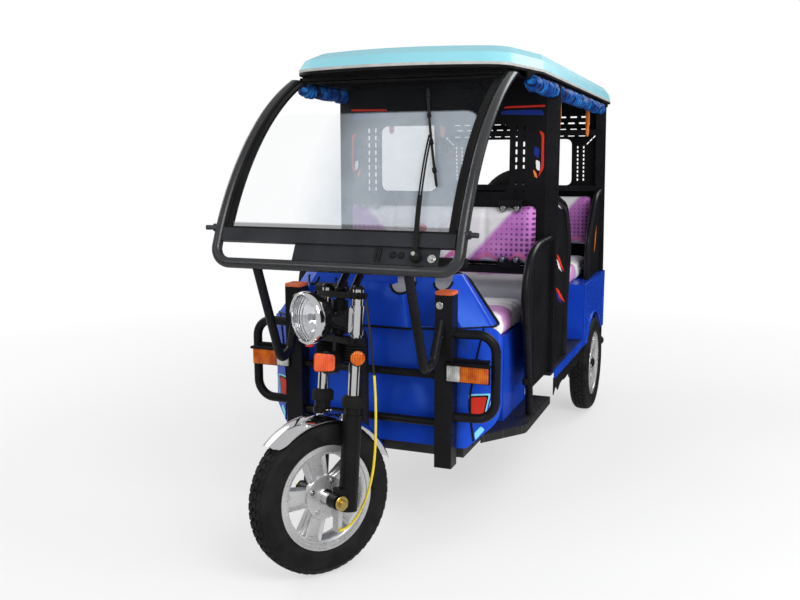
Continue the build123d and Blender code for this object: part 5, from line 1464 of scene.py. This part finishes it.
for side in (1, -1):
    turn = Matrix.Rotation(math.radians(patch["turn"]), 4, "Z")
    stand = drawing @ Matrix.Diagonal((1, side, 1, 1)) @ movedBy(*patch["place"]) @ turn @ facingY
    for outline, thick, field in patch["fields"]:
        shape = plateShape(roundLoop(outline, 6), [], thick)
        joinTurned(bm, shape, field, stand)
fromShape("frontPatches", bm, ["decalCyan", "sealRubber", "decalRed"], "chassis")

# wheel arch lips, sill skirts, mud flaps and the blank plate at the back
tailTrim = {"axleZ": 245.0, "archR": (272.0, 282.0), "archY": (462.0, 485.0), "from": 33.0, "to": 147.0,
            "skirt": (350.0, 1000.0, 472.0, 332.0, 392.0),
            "folds": [((-310, 466, 694), (327, 483, 702)), ((318, 476, 430), (327, 483, 696)),
                      ((-310, 476, 394), (-301, 483, 696))],
            "flap": ((-300, 392, 205), (-294, 478, 398)), "plate": (110, 518, 602)}
bm = bmesh.new()
for side in (1, -1):
    lip = bmesh.new()
    (r0, r1), (y0, y1) = tailTrim["archR"], tailTrim["archY"]
    a = math.radians(tailTrim["from"])
    verts = [lip.verts.new(at(r * math.cos(a), side * y, tailTrim["axleZ"] + r * math.sin(a)))
             for r, y in ((r0, y0), (r1, y0), (r1, y1), (r0, y1))]
    edges = [lip.edges.new((verts[i], verts[(i + 1) % 4])) for i in range(4)]
    bmesh.ops.spin(lip, geom=verts + edges, cent=at(0, 0, tailTrim["axleZ"]), axis=(0, -1, 0),
                   angle=math.radians(tailTrim["to"] - tailTrim["from"]), steps=40)
    bmesh.ops.holes_fill(lip, edges=lip.edges, sides=4)
    bmesh.ops.recalc_face_normals(lip, faces=lip.faces)
    softenEdges(lip, 0.002)
    joinShape(bm, lip)
    for low, high in tailTrim["folds"]:
        joinShape(bm, sideBox(side, low, high, 2.5), 0, drawing)
fromShape("quarterFolds", bm, ["bluePaint"], "chassis")
bm = bmesh.new()
x0, x1, y, z0, z1 = tailTrim["skirt"]
for side in (1, -1):
    ragged = [(x0, z1), (x0, z0 + 22)]
    for k in range(1, 14):
        ragged.append((x0 + (x1 - x0) * k / 14, z0 + 24 * noise.noise(Vector((k * 1.7, side * 2.0, 0.3)))
                       + (10 if k % 3 else 0)))
    ragged += [(x1, z0 - 14), (x1, z1)]
    joinShape(bm, plateShape(ragged, [], 4.0), 0, drawing @ movedBy(0, side * y) @ facingY)
    joinShape(bm, sideBox(side, *tailTrim["flap"], 2), 0, drawing)
fromShape("rubberSkirts", bm, ["sealRubber"], "chassis")
bm = bmesh.new()
plate = plateShape(roundLoop(rectangle(*tailTrim["plate"]), 10), [], 2.0, 0.6)
joinShape(bm, plate, 0, drawing @ movedBy(-312.5) @ facingX)
for y in (85, -85):
    joinShape(bm, boltShape(10), 1, along(at(-314, y, 560), (-1, 0, 0)))
fromShape("blankPlate", bm, ["plateBlank", "boltZinc"], "chassis")
print("body trim made")

size = {"cad": [list(v) for v in cadBox], "visual": [list(v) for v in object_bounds()]}
